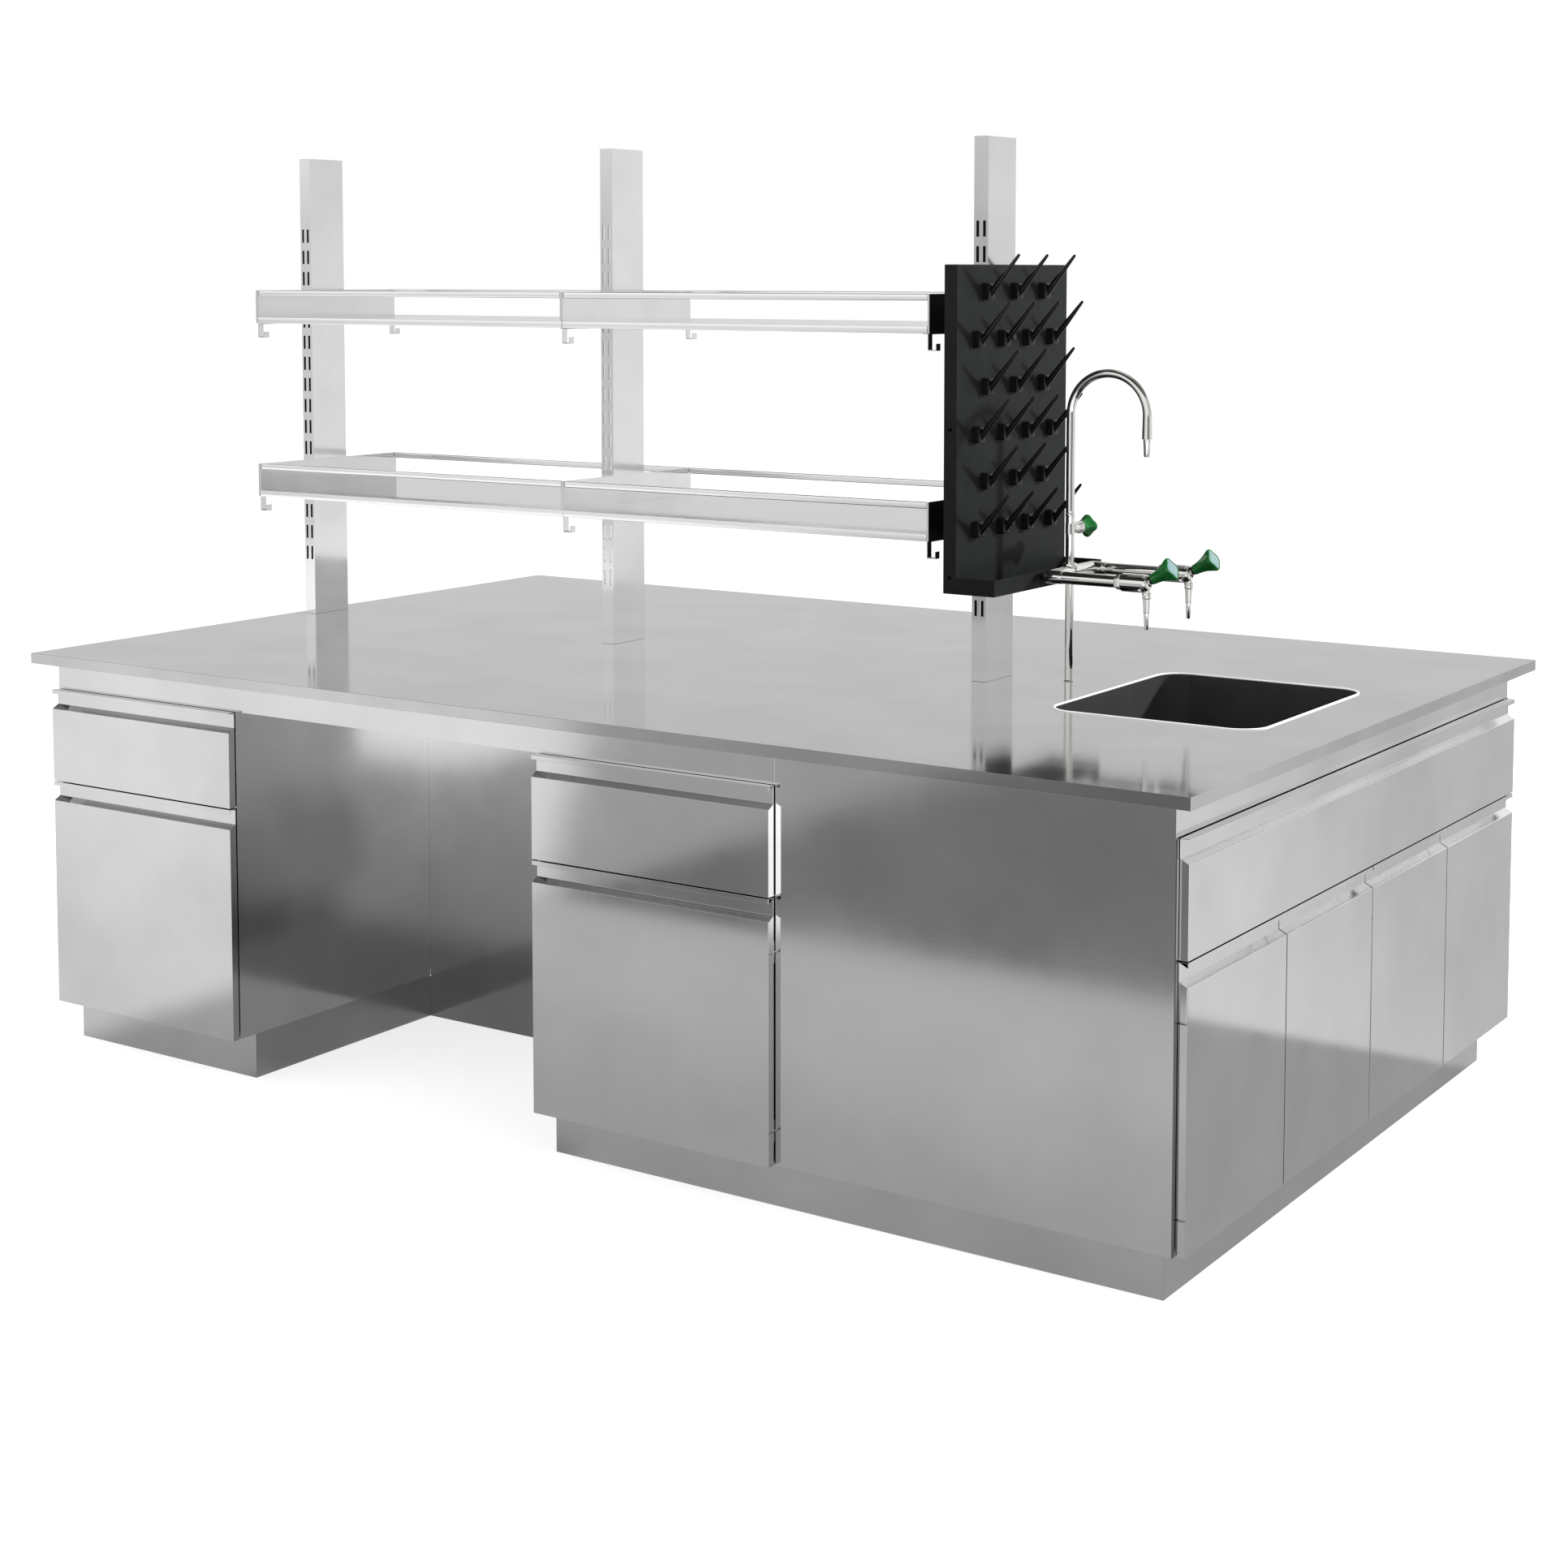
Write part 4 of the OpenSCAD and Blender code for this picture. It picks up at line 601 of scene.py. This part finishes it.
class LABBENCH_OT_steelwork(BenchStep, bpy.types.Operator):
    """Finishes the worktop, the cabinets, the shelf and the plinth"""

    bl_idname = "lab_bench.steelwork"
    bl_label = "Steelwork"

    def execute(self, context):
        values = self.settings(context)
        steel, edge = values.steel, values.edge_rounding
        front = stainless_sheet("stainless_sheet_bright", steel, 0.085, THIN_X)
        side = stainless_sheet("stainless_sheet_side", steel, 0.10, THIN_Z)
        board = stainless_sheet("stainless_sheet_polished", steel, 0.05, ALONG_X, 0.01)
        bracket = stainless_sheet("stainless_tube_drawn", linear("#E0E0E0"), 0.09, ALONG_Z,
                                  0.01)
        top = stainless_sheet("stainless_worktop_rolled", values.worktop, 0.09, LONG_X,
                              cloud=0.09)
        kick = stainless_sheet("stainless_plinth_satin", values.plinth, 0.22, THIN_Z)
        back = stainless_sheet("stainless_panel_brushed", linear("#B4B4B4"), 0.12, THIN_Z)
        case = stainless_sheet("stainless_case_bright", linear("#E0E0E0"), 0.10, THIN_Z)
        # Brighter steel that paints a highlight on the finger pulls
        pull_highlight = stainless_sheet("stainless_pull_painted_highlight", linear("#EDEDED"), 0.16, THIN_Y)
        # Dark steel that paints the shade in the sink unit's corner gaps
        dark_shade = stainless_sheet("stainless_trim_painted_shade", linear("#7C7C7C"), 0.25)
        dress("worktop_skin", top, edge)
        for cabinet in CABINETS:
            dress("carcass_" + cabinet, case)
            dress("drawer_front_" + cabinet, front, edge)
            dress("door_" + cabinet, front, edge)
            dress("drawer_box_" + cabinet, side, edge)
        dress("sink_unit", side)
        for node in ("sink_fascia", *(f"sink_door_{number}" for number in range(1, 5))):
            dress(node, front, edge)
            self.paint_pull_highlight(node, pull_highlight)
        self.corner_trims(dark_shade)
        # Painted shade: the columns take copies of one steel, tinted darker towards the sink
        for column, tint in (("left", "#ECECEC"), ("middle", "#E0E0E0"), ("right", "#CCCCCC")):
            shaded_copy = stainless_sheet("stainless_column_painted_shade_" + column, linear(tint), 0.09,
                                    ALONG_Z, 0.01)
            dress("column_" + column, shaded_copy, edge)
        for level in ("lower", "upper"):
            dress(f"shelf_{level}_left", board, edge)
            dress(f"shelf_{level}_right", board, edge)
            dress("shelf_brackets_" + level, bracket, 0.4)
        dress("plinth", kick)
        self.apron_strips(side)
        self.service_panels(back, case)
        dress("cabinet_shelves", side)
        return {"FINISHED"}

    def paint_pull_highlight(self, node, material):
        """Paints a highlight on the slope of a finger pull and the underside of its lip, with a
        brighter steel
        """
        lip_height = 5.0
        part = NODES[node]
        part.data.materials.append(material)
        turn = part.matrix_world.to_3x3()
        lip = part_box(node)[1].z - lip_height * MM
        # Painted highlight: slope faces that look up and lip faces that look down take the
        # brighter steel
        for face in part.data.polygons:
            way = turn @ face.normal
            slope = way.z > 0.5 and way.x > 0.2
            under = way.z < -0.9 and (part.matrix_world @ face.center).z > lip
            if slope or under:
                face.material_index = 1

    def corner_trims(self, steel):
        """Strips that carry the sink unit's side panels forward to the doors' backs, in a dark
        steel that paints the shade in the corner gaps
        """
        reach, sheet, clear = 2.5, 7.3, 0.1
        low, high = corners("sink_unit")
        top = corners("sink_fascia")[1].z
        shell = Shell()
        for side in (-1, 1):
            outer = high.y - clear
            shell.bar((high.x, side * (outer - sheet), low.z),
                      (high.x + reach, side * outer, top))
        shell.piece("sink_corner_trims", steel, "bench")

    def service_panels(self, knee_steel, end_steel):
        """Backs of the knee spaces, wider at the foot to close the plinth's corners, and the
        cover of the service space at the plain end"""
        top, wing, clear, gap, lift = 771.0, 18.0, 0.2, 0.3, 3.0
        low, high = corners("service_panels")
        start = corners("carcass_front_left")[1].x
        end = corners("carcass_front_right")[0].x
        sheet = high.y - PANEL_Y
        shell = Shell()
        for y in (low.y, PANEL_Y):
            for x0, x1, z in ((start + clear, end - clear, top),
                              (start - wing, start + clear, PLINTH_Z),
                              (end - clear, end + wing, PLINTH_Z)):
                shell.bar((x0, y, 0.0), (x1, y + sheet, z))
        made = shell.piece("knee_back_panels", knee_steel, "bench")
        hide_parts("service_panels")
        shell = Shell()
        shell.bar((low.x, gap - PANEL_Y, PLINTH_Z + lift),
                  (low.x + sheet, PANEL_Y - gap, high.z))
        shell.piece("plain_end_cover", end_steel, "bench")

    def apron_strips(self, steel):
        """Folded strips between the worktop and the fronts, in one length along each side"""
        low, top, fold, sheet = 771.4, 827.8, 9.0, 1.2
        left_x, middle_x, end_x = -1312.9, 541.8, 1305.25
        side_y, corner_y = 807.25, 806.9
        knee_xs, knee_y = (-780.0, 9.0), corners("service_panels")[1].y
        section = [(0, low), (fold, low), (fold, low + sheet), (sheet, low + sheet),
                   (sheet, top - sheet), (fold, top - sheet), (fold, top), (0, top)]
        # Start, end and the direction in which the strip faces
        strips = [((end_x, -corner_y), (end_x, corner_y), (1, 0))]
        for side in (-1, 1):
            strips.append(((left_x, side * side_y), (middle_x, side * side_y), (0, side)))
            strips.append(((knee_xs[0], side * knee_y), (knee_xs[1], side * knee_y), (0, side)))
        shell = Shell()
        for start, end, (out_x, out_y) in strips:
            shell.loft([[Vector((x - out_x * depth, y - out_y * depth, z))
                         for depth, z in section] for x, y in (start, end)])
        made = shell.piece("apron_strips_folded", steel, "bench", 20.0)
        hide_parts("aprons")


class LABBENCH_OT_shelf_trim(BenchStep, bpy.types.Operator):
    """Rolls the guard rails and the shelves' edges, and puts painted shade and light behind the
    column slots
    """

    bl_idname = "lab_bench.shelf_trim"
    bl_label = "Shelf rails and edges"

    def execute(self, context):
        bright = stainless_sheet("stainless_edge_bright", self.settings(context).rail, 0.2,
                                 ALONG_X, 0.005, 0.03)
        # Black sheet that paints the shade inside the outer columns' slots
        black = moulded_plastic("black_slot_painted_shade", linear("#0C0C0D"), 0.5, 1.2, 0.01,
                                sheen=0.1)
        names = ("left", "middle", "right")
        columns = [corners("column_" + name) for name in names]
        for level in ("lower", "upper"):
            self.rails(level, columns, bright)
            self.edges(level, bright)
        # Liners stand just behind the column's sheet and stop short of its foot and cap. They
        # paint the slots' tone: the outer ones are black, painted shade, and the middle one is
        # bright steel, painted light, because the slots there look light
        wall, foot, cap, depth, sheet = 2.4, 40.0, 60.0, 2.8, 0.6
        for name, (low, high), material in zip(names, columns, (black, bright, black)):
            painted_slot = Shell()
            for side in (-1, 1):
                inner = side * (high.y - depth)
                painted_slot.bar((low.x + wall, inner, low.z + foot),
                          (high.x - wall, inner + side * sheet, high.z - cap), 0.1)
            painted_slot.piece("slot_painted_shade_and_light_" + name, material, "bench")
        return {"FINISHED"}

    def rails(self, level, columns, bright):
        """Four bars with rounded edges, on the stubs that reach the brackets"""
        clear, plate, stub, stub_r, round_off = 2.3, 4.0, 3.0, 3.0, 1.8
        low, high = corners("guard_rails_" + level)
        left, middle, right = columns
        shell = Shell()
        for start, end in ((left[1].x + clear, middle[1].x - clear - plate),
                           (middle[1].x + clear, right[0].x - clear)):
            for side in (-1, 1):
                outer = side * high.y
                shell.bar((start + stub, outer - side * GUARD_T, low.z), (end, outer, high.z),
                          round_off, 4)
                axis = seat((0, outer - side * (GUARD_T / 2 + 1.0), (low.z + high.z) / 2),
                            (1, 0, 0))
                shell.turn([(stub_r, start - 0.3), (stub_r, end + 0.3)], axis, 24)
        made = shell.piece("guard_rails_rolled_" + level, bright, "bench")
        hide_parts("guard_rails_" + level)

    def edges(self, level, bright):
        """Rolled strips on the front and rear folds of both boards, in brighter steel that paints
        their highlight
        """
        near, far, round_off = 0.05, 1.3, 0.6
        shell = Shell()
        for bay in ("left", "right"):
            low, high = corners(f"shelf_{level}_{bay}")
            for side in (-1, 1):
                shell.bar((low.x, side * (high.y + near), low.z),
                          (high.x, side * (high.y + far), high.z), round_off, 4)
        shell.piece("shelf_edges_" + level, bright, "bench")


class LABBENCH_OT_fittings(BenchStep, bpy.types.Operator):
    """Finishes the core board, feet, fixings, hinges, runners, pipes and strainer"""

    bl_idname = "lab_bench.fittings"
    bl_label = "Fittings"

    def execute(self, context):
        zinc = zinc_plated_steel("zinc_plated_steel", linear("#8E9092"))
        chrome = polished_chrome("chrome_rail_polished", self.settings(context).chrome)
        black = moulded_plastic("polypropylene_black_pipe", linear("#1A1A1B"), 0.4, 1.2, 0.03)
        hinge = stainless_sheet("stainless_hinge_plain", linear("#C2C2C2"), 0.2)
        copper = copper_tube("copper_tube_drawn", linear("#C98A62"), linear("#6E4A34"))
        core = melamine_faced_chipboard("melamine_faced_chipboard", linear("#A4A4A3"),
                                        linear("#979796"))
        for node, material in (("column_feet", zinc), ("column_caps", zinc),
                               ("drawer_runners", zinc), ("levelling_feet", zinc),
                               ("hinge_brackets", hinge), ("sink_waste", chrome),
                               ("sink_trap", black), ("fixing_screws", black),
                               ("supply_pipe", copper), ("worktop_core", core)):
            dress(node, material)
        return {"FINISHED"}


class LABBENCH_OT_tap_body(BenchStep, bpy.types.Operator):
    """Turns the tap's pole, manifold, arms, unions and valves"""

    bl_idname = "lab_bench.tap_body"
    bl_label = "Tap body"

    def execute(self, context):
        chrome = polished_chrome("chrome_plate_polished", self.settings(context).chrome)
        self.pole(chrome)
        self.manifold(chrome)
        self.valves(chrome)
        self.nozzles(chrome)
        return {"FINISHED"}

    def pole(self, chrome):
        """The pole up to the swan neck's joint, its rosette and the nut under the worktop"""
        bottom = corners("tap_pole")[0].z
        tube = [(8.7, bottom), (POLE_R, bottom + 1), (POLE_R, 1179.0), (9.2, 1180.0),
                (9.2, 1184.6), (8.9, 1184.9)]
        rosette = [(9.0, WORKTOP_Z), (11.4, WORKTOP_Z), (11.4, WORKTOP_Z + 0.8),
                   (9.6, WORKTOP_Z + 2.0), (8.8, WORKTOP_Z + 2.2)]
        nut = [(15.0, bottom + 28.0), (15.0, bottom + 38.0)]
        shell = Shell()
        shell.turn(rounded_edge(tube, 0.3), TAP_AXIS)
        shell.turn(rounded_edge(rosette, 0.3), TAP_AXIS)
        shell.turn(nut, TAP_AXIS, 6)
        made = shell.piece("tap_pole_turned", chrome, "bench")
        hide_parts("tap_pole")

    def manifold(self, chrome):
        """The hub on the pole, the cross bar and the two arms with their unions"""
        low, high, hub_r, bar_r = MANIFOLD_Z - 17.5, MANIFOLD_Z + 17.5, 15.0, 13.0
        hub = [(8.9, low), (hub_r, low), (hub_r, high), (8.9, high)]
        bar = [(0.5, ARM_YS[0] - bar_r), *arc((0.0, ARM_YS[0]), bar_r, -80, 0, 8),
               *arc((0.0, ARM_YS[1]), bar_r, 0, 80, 8), (0.5, ARM_YS[1] + bar_r)]
        arm = [(12.0, MANIFOLD_X - 2.0), (13.0, MANIFOLD_X), (13.0, 699.0), (12.6, 700.0),
               (12.05, 700.2), (12.05, 828.0)]
        union = [(12.2, 813.0), (14.6, 814.2), (15.4, 815.2), (15.4, 825.4), (14.8, 826.8),
                 (13.0, 827.0)]
        shell = Shell()
        shell.turn(rounded_edge(hub, 1.5), TAP_AXIS)
        shell.turn(bar, seat((MANIFOLD_X, 0, MANIFOLD_Z), (0, 1, 0)))
        for y in ARM_YS:
            along = seat((0, y, MANIFOLD_Z), (1, 0, 0))
            shell.turn(arm, along)
            shell.turn(union, along, 6)
        made = shell.piece("tap_manifold_arms", chrome, "bench")
        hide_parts("tap_manifold")

    def valves(self, chrome):
        """Two valves at the arms' ends and the one on the pole"""
        body = [(13.0, 827.0), (16.8, 827.2), (18.0, 828.4), (18.0, 872.0),
                *arc((9.0, 875.0), 9.0, 18, 84, 7)]
        stem = [(7.0, 0.0), (9.0, 4.0), (9.0, 11.0), (8.2, 13.6), (5.0, 14.8), (4.0, 34.0)]
        gland = [(8.8, 6.5), (10.4, 7.3), (10.4, 12.0), (9.0, 13.0)]
        neck_valve = [(8.6, 6.0), (9.4, 8.0), (10.2, 24.0), (12.6, 37.0), (12.6, 42.0),
                      (9.0, 42.2), (9.0, 46.0), (6.0, 46.4), (4.0, 58.0)]
        collar = [(8.6, NECK_VALVE_Z - 11.0), (9.2, NECK_VALVE_Z - 10.6),
                  (9.2, NECK_VALVE_Z + 10.6), (8.6, NECK_VALVE_Z + 11.0)]
        shell = Shell()
        for y in ARM_YS:
            shell.turn(body, seat((0, y, MANIFOLD_Z), (1, 0, 0)), 64)
            handle = seat((OUTLET_X, y, MANIFOLD_Z), HANDLE_WAY)
            shell.turn(stem, handle)
            shell.turn(gland, handle, 6)
        shell.turn(rounded_edge(neck_valve, 0.8), seat((TAP_X, TAP_Y, NECK_VALVE_Z), (0, 1, 0)))
        shell.turn(collar, TAP_AXIS)
        made = shell.piece("tap_valve_bodies", chrome, "bench")
        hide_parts("tap_valves")

    def nozzles(self, chrome):
        """Hose nozzles that hang from the arms' valves"""
        nozzle = [(3.0, 980.4), (3.7, 980.2), (4.1, 981.2), (5.2, 1009.0), (5.2, 1010.4),
                  (6.3, 1010.8), (6.4, 1013.0), (6.0, 1013.6), (7.3, 1039.0), (8.6, 1039.6),
                  (8.9, 1040.4), (8.9, 1043.6), (8.0, 1044.4), (8.0, 1045.6), (9.2, 1046.2),
                  (9.2, 1050.2), (8.6, 1051.2), (7.0, 1051.6), (7.0, 1062.0)]
        shell = Shell()
        for y in ARM_YS:
            shell.turn(nozzle, seat((OUTLET_X + 4.0, y, 0)))
        made = shell.piece("hose_nozzles", chrome, "bench")
        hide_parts("tap_nozzles")


class LABBENCH_OT_swan_neck(BenchStep, bpy.types.Operator):
    """Bends the swan neck and turns its nozzle"""

    bl_idname = "lab_bench.swan_neck"
    bl_label = "Swan neck"

    def execute(self, context):
        chrome = polished_chrome("chrome_tube_bent", self.settings(context).chrome)
        radius, spring, end = 83.0, 1381.0, 1338.0
        bend_steps, leg_steps, flare_steps, flare = 64, 6, 11, 1.5
        path = [Vector((TAP_X, TAP_Y, z)) for z in (1186.0, 1250.0, 1320.0, 1370.0)]
        for i in range(bend_steps + 1):
            turn = math.pi * (1 - i / bend_steps)
            path.append(Vector((TAP_X + radius + radius * math.cos(turn), TAP_Y,
                                spring + radius * math.sin(turn))))
        for i in range(1, leg_steps + 1):
            path.append(Vector((TAP_X + 2 * radius, TAP_Y,
                                spring - (spring - end) * i / leg_steps)))
        radii = [POLE_R] * (len(path) - flare_steps - 1)
        radii += [POLE_R + flare * (i / flare_steps) ** 1.5 for i in range(flare_steps + 1)]
        nut = [(8.0, 1185.4), (9.2, 1185.6), (9.2, 1190.6), (8.8, 1191.0)]
        shell = Shell()
        shell.sweep(path, radii, Vector((0, 1, 0)))
        shell.turn(rounded_edge(nut, 0.3), TAP_AXIS)
        made = shell.piece("swan_neck_tube", chrome, "swan")
        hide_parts("swan_neck")
        nozzle = [(4.4, 1303.6), (5.6, 1303.2), (6.1, 1304.4), (7.4, 1332.0), (7.7, 1340.0)]
        shell = Shell()
        shell.turn(nozzle, seat((TAP_X + 2 * radius, TAP_Y, 0)))
        made = shell.piece("swan_neck_outlet", chrome, "swan")
        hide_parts("swan_neck_nozzle")
        return {"FINISHED"}


class LABBENCH_OT_handles(BenchStep, bpy.types.Operator):
    """Lofts the three winged handles and their discs"""

    bl_idname = "lab_bench.handles"
    bl_label = "Tap handles"

    def execute(self, context):
        values = self.settings(context)
        green = moulded_plastic("abs_green_gloss", values.handle, 0.12, 3.0, 0.01, 0.08)
        disc = moulded_plastic("abs_blue_grey_disc", values.disc, 0.2, 2.0, 0.01, 0.05)
        # Black washer, which also paints the shade at the handles' feet
        black = moulded_plastic("nylon_black_washer_and_painted_shade", linear("#0E0E0F"), 0.3, 1.0, 0.01)
        for name, centre, way, start, length in (
                ("front", (OUTLET_X, ARM_YS[0], MANIFOLD_Z), HANDLE_WAY, 15.3, 52.0),
                ("rear", (OUTLET_X, ARM_YS[1], MANIFOLD_Z), HANDLE_WAY, 15.3, 52.0),
                ("neck", (TAP_X, TAP_Y, NECK_VALVE_Z), (0, 1, 0), 46.3, 30.0)):
            self.handle(name, seat(centre, way), start, length, values, green, disc, black)
        return {"FINISHED"}

    def handle(self, name, axis, start, length, values, green, disc, black):
        """A grip whose wings grow from a round foot, the disc let into its end and the black
        washer under it, which also paints the shade at the grip's foot"""
        top, body = start + length, "handle_" + name
        # Share of the length and radius, from the foot over the rim to the disc's seat
        grip = ((0.06, 9.4), (0.075, 10.2), (0.2, 10.6), (0.34, 11.5), (0.48, 13.0),
                (0.62, 15.2), (0.75, 17.9), (0.85, 20.0), (0.91, 20.6), (0.96, 20.5),
                (0.99, 19.8), (1.0, 18.4), (0.995, 17.6), (0.97, 16.9))
        inlay = [(17.1, top - 1.6), (17.1, top - 0.9), (16.4, top - 0.5), (8.0, top - 0.3),
                 (2.0, top - 0.3)]
        washer = [(5.0, start + 0.1), (9.2, start + 0.1), (9.2, start + 3.2), (5.0, start + 3.2)]

        def lobes(angle, height):
            """Factor on the radius, 1 at the foot, that grows to full wings near the rim"""
            share = min(1.0, max(0.0, (height - start) / length / 0.8 - 0.05))
            return 1 + values.lobe_depth * share ** 0.8 * math.cos(values.handle_lobes * angle)

        shell = Shell()
        shell.turn([(radius, start + share * length) for share, radius in grip], axis, 96, lobes)
        made = shell.piece("handle_grip_" + name, green, body, 40.0)
        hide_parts("tap_handle_" + name)
        shell = Shell()
        shell.turn(inlay, axis, 96, lobes)
        shell.piece("handle_disc_" + name, disc, body)
        shell = Shell()
        shell.turn(rounded_edge(washer, 0.5), axis)
        shell.piece("handle_washer_" + name, black, body)


class LABBENCH_OT_rack(BenchStep, bpy.types.Operator):
    """Finishes the pegboard and moulds its pegs"""

    bl_idname = "lab_bench.rack"
    bl_label = "Drying rack"

    def execute(self, context):
        values = self.settings(context)
        board = moulded_plastic("polypropylene_charcoal_panel", values.rack, 0.45, 1.4,
                                0.02, sheen=0.05)
        gloss = moulded_plastic("polypropylene_black_gloss", values.pegs, 0.2, 1.6, 0.012,
                                sheen=0.3)
        # Black without sheen, that paints the shade inside the pegboard's holes
        dark_shade = moulded_plastic("black_hole_painted_shade", linear("#050505"), 0.6, 1.6, 0.012,
                               sheen=0.02)
        dress("pegboard", board, 1.2)
        shell = Shell()
        for row, z in enumerate(RACK_ROWS):
            count, step = (3, 115.0) if row % 2 == 0 else (4, 100.0)
            for i in range(count):
                self.peg(shell, Vector((RACK_X, (i - (count - 1) / 2) * step, z)))
        made = shell.piece("drying_pegs_moulded", gloss, "bench")
        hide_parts("drying_pegs")
        low, high = corners("pegboard")
        # Painted shade: black discs deep in the flange's holes stand for the dark inside them
        hole_shade = [(3.0, -2.6), (3.9, -2.4), (3.9, -0.9), (2.6, -0.5)]
        shell = Shell()
        for side in (-1, 1):
            for z in (low.z + 30.0, (low.z + high.z) / 2):
                shell.turn(hole_shade, seat(((low.x + RACK_X) / 2, side * high.y, z), (0, side, 0)), 28)
        shell.piece("rack_hole_painted_shade", dark_shade, "bench")
        return {"FINISHED"}

    def peg(self, shell, place):
        """A socket with flat top and rounded corners, and the tapered shaft from its foot"""
        reach, half_height, corner, drop = 13.5, 16.5, 5.0, 2.5
        centre = place - Vector((0, 0, drop))
        outline = rounded_rectangle(reach, half_height, corner, 4)
        shell.loft([[centre + Vector((x, y * share, z * share)) for y, z in outline]
                    for x, share in ((0.2, 1.0), (7.0, 0.97), (14.0, 0.92), (15.0, 0.82))])
        foot = place + Vector((8.0, 0, -11.5))
        way = place + Vector((75.0, 0, 69.0)) - foot
        length, tip_r = way.length, 2.8
        shaft = [(5.6, 1.0), (6.4, 6.0), (6.0, 30.0), (4.4, 66.0), (2.9, length - 4.0),
                 *arc((0.0, length - 3.0), tip_r, 10, 80, 6)]
        shell.turn(shaft, seat(foot, way), 28)


class LABBENCH_OT_sink(BenchStep, bpy.types.Operator):
    """Moulds the sink bowl and a white bead round its rim, a painted highlight on the rim's edge
    """

    bl_idname = "lab_bench.sink"
    bl_label = "Sink"

    def execute(self, context):
        black = moulded_plastic("epoxy_black_bowl", self.settings(context).bowl, 0.3, 6.0,
                                0.004, 0.04)
        # White bead that paints the highlight along the rim's edge
        rim_highlight = moulded_plastic("white_rim_painted_highlight", linear("#F4F4F4"), 0.4, 1.5, 0.01, 0.02)
        centre = (sum(SINK_XS) / 2, 0.0)
        half_x, drain_r, least_r = (SINK_XS[1] - SINK_XS[0]) / 2, 31.0, 8.0
        angles = box_outline(half_x, SINK_Y, SINK_CORNER)

        def ring(inset, z, share=0.0):
            """A ring set in from the cut-out; share turns it towards the round drain"""
            outline = box_ring(angles, centre, half_x - inset, SINK_Y - inset,
                               max(least_r, SINK_CORNER - inset), z)
            drain = [Vector((centre[0] + drain_r * math.cos(a), drain_r * math.sin(a), z))
                     for a in angles]
            return [p.lerp(q, share) for p, q in zip(outline, drain)]

        def foot(inset, z, radius, turn):
            """A ring on the rounding between wall and bottom, turned from 0 to 90 degrees"""
            turn = math.radians(turn)
            return ring(inset - radius * math.sin(turn), z + radius * (1 - math.cos(turn)))

        rim_top, flange_top, flange_low = 849.2, 827.9, 824.0
        inside = [ring(0.0, 598.0, 1.0), ring(42.0, 598.6, 0.72), ring(42.0, 600.4, 0.35)]
        inside += [foot(40.0, 603.0, 37.0, 90 * i / 8) for i in range(9)]
        inside += [ring(1.9, 760.0), ring(1.6, 848.6), ring(0.4, rim_top), ring(0.4, flange_top)]
        outside = [ring(-12.0, flange_top), ring(-12.0, flange_low), ring(-4.0, flange_low),
                   ring(-4.0, 650.0)]
        outside += [foot(36.0, 596.5, 40.0, 90 * (1 - i / 6)) for i in range(1, 7)]
        outside += [ring(42.0, 595.0, 0.5), ring(0.0, 594.0, 1.0)]
        shell = Shell()
        shell.loft(inside + outside, joined=True)
        made = shell.piece("sink_bowl_moulded", black, "bench", 60.0)
        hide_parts("sink_bowl")
        bead, sides, outset, lift, half_width, half_height = [], 12, 1.5, 0.3, 2.0, 1.9
        for i in range(sides):
            turn = 2 * math.pi * i / sides
            bead.append(ring(-outset - half_width * math.cos(turn),
                             WORKTOP_Z + lift + half_height * math.sin(turn)))
        shell = Shell()
        shell.loft(bead, joined=True)
        shell.piece("sink_rim_bead", rim_highlight, "bench", 180.0)
        return {"FINISHED"}


class LABBENCH_PT_panel(bpy.types.Panel):
    """Lists the bench's settings and steps"""

    bl_idname = "LABBENCH_PT_panel"
    bl_label = "Laboratory bench"
    bl_space_type = "VIEW_3D"
    bl_region_type = "UI"
    bl_category = "Lab bench"

    def draw(self, context):
        values = getattr(context.scene, SETTINGS)
        for name in LabBenchSettings.__annotations__:
            self.layout.prop(values, name)
        for step in STEPS:
            self.layout.operator(step.bl_idname)


STEPS = (LABBENCH_OT_camera, LABBENCH_OT_stage, LABBENCH_OT_steelwork, LABBENCH_OT_shelf_trim,
         LABBENCH_OT_fittings, LABBENCH_OT_rack, LABBENCH_OT_sink, LABBENCH_OT_tap_body,
         LABBENCH_OT_swan_neck, LABBENCH_OT_handles)
CLASSES = (LabBenchSettings, *STEPS, LABBENCH_PT_panel)


def register():
    for item in CLASSES:
        bpy.utils.register_class(item)
    setattr(bpy.types.Scene, SETTINGS, PointerProperty(type=LabBenchSettings))


def unregister():
    delattr(bpy.types.Scene, SETTINGS)
    for item in reversed(CLASSES):
        bpy.utils.unregister_class(item)


def main():
    """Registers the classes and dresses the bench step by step."""
    register()
    for step in STEPS:
        group, name = step.bl_idname.split(".")
        getattr(getattr(bpy.ops, group), name)()


if __name__ == "__main__":
    main()
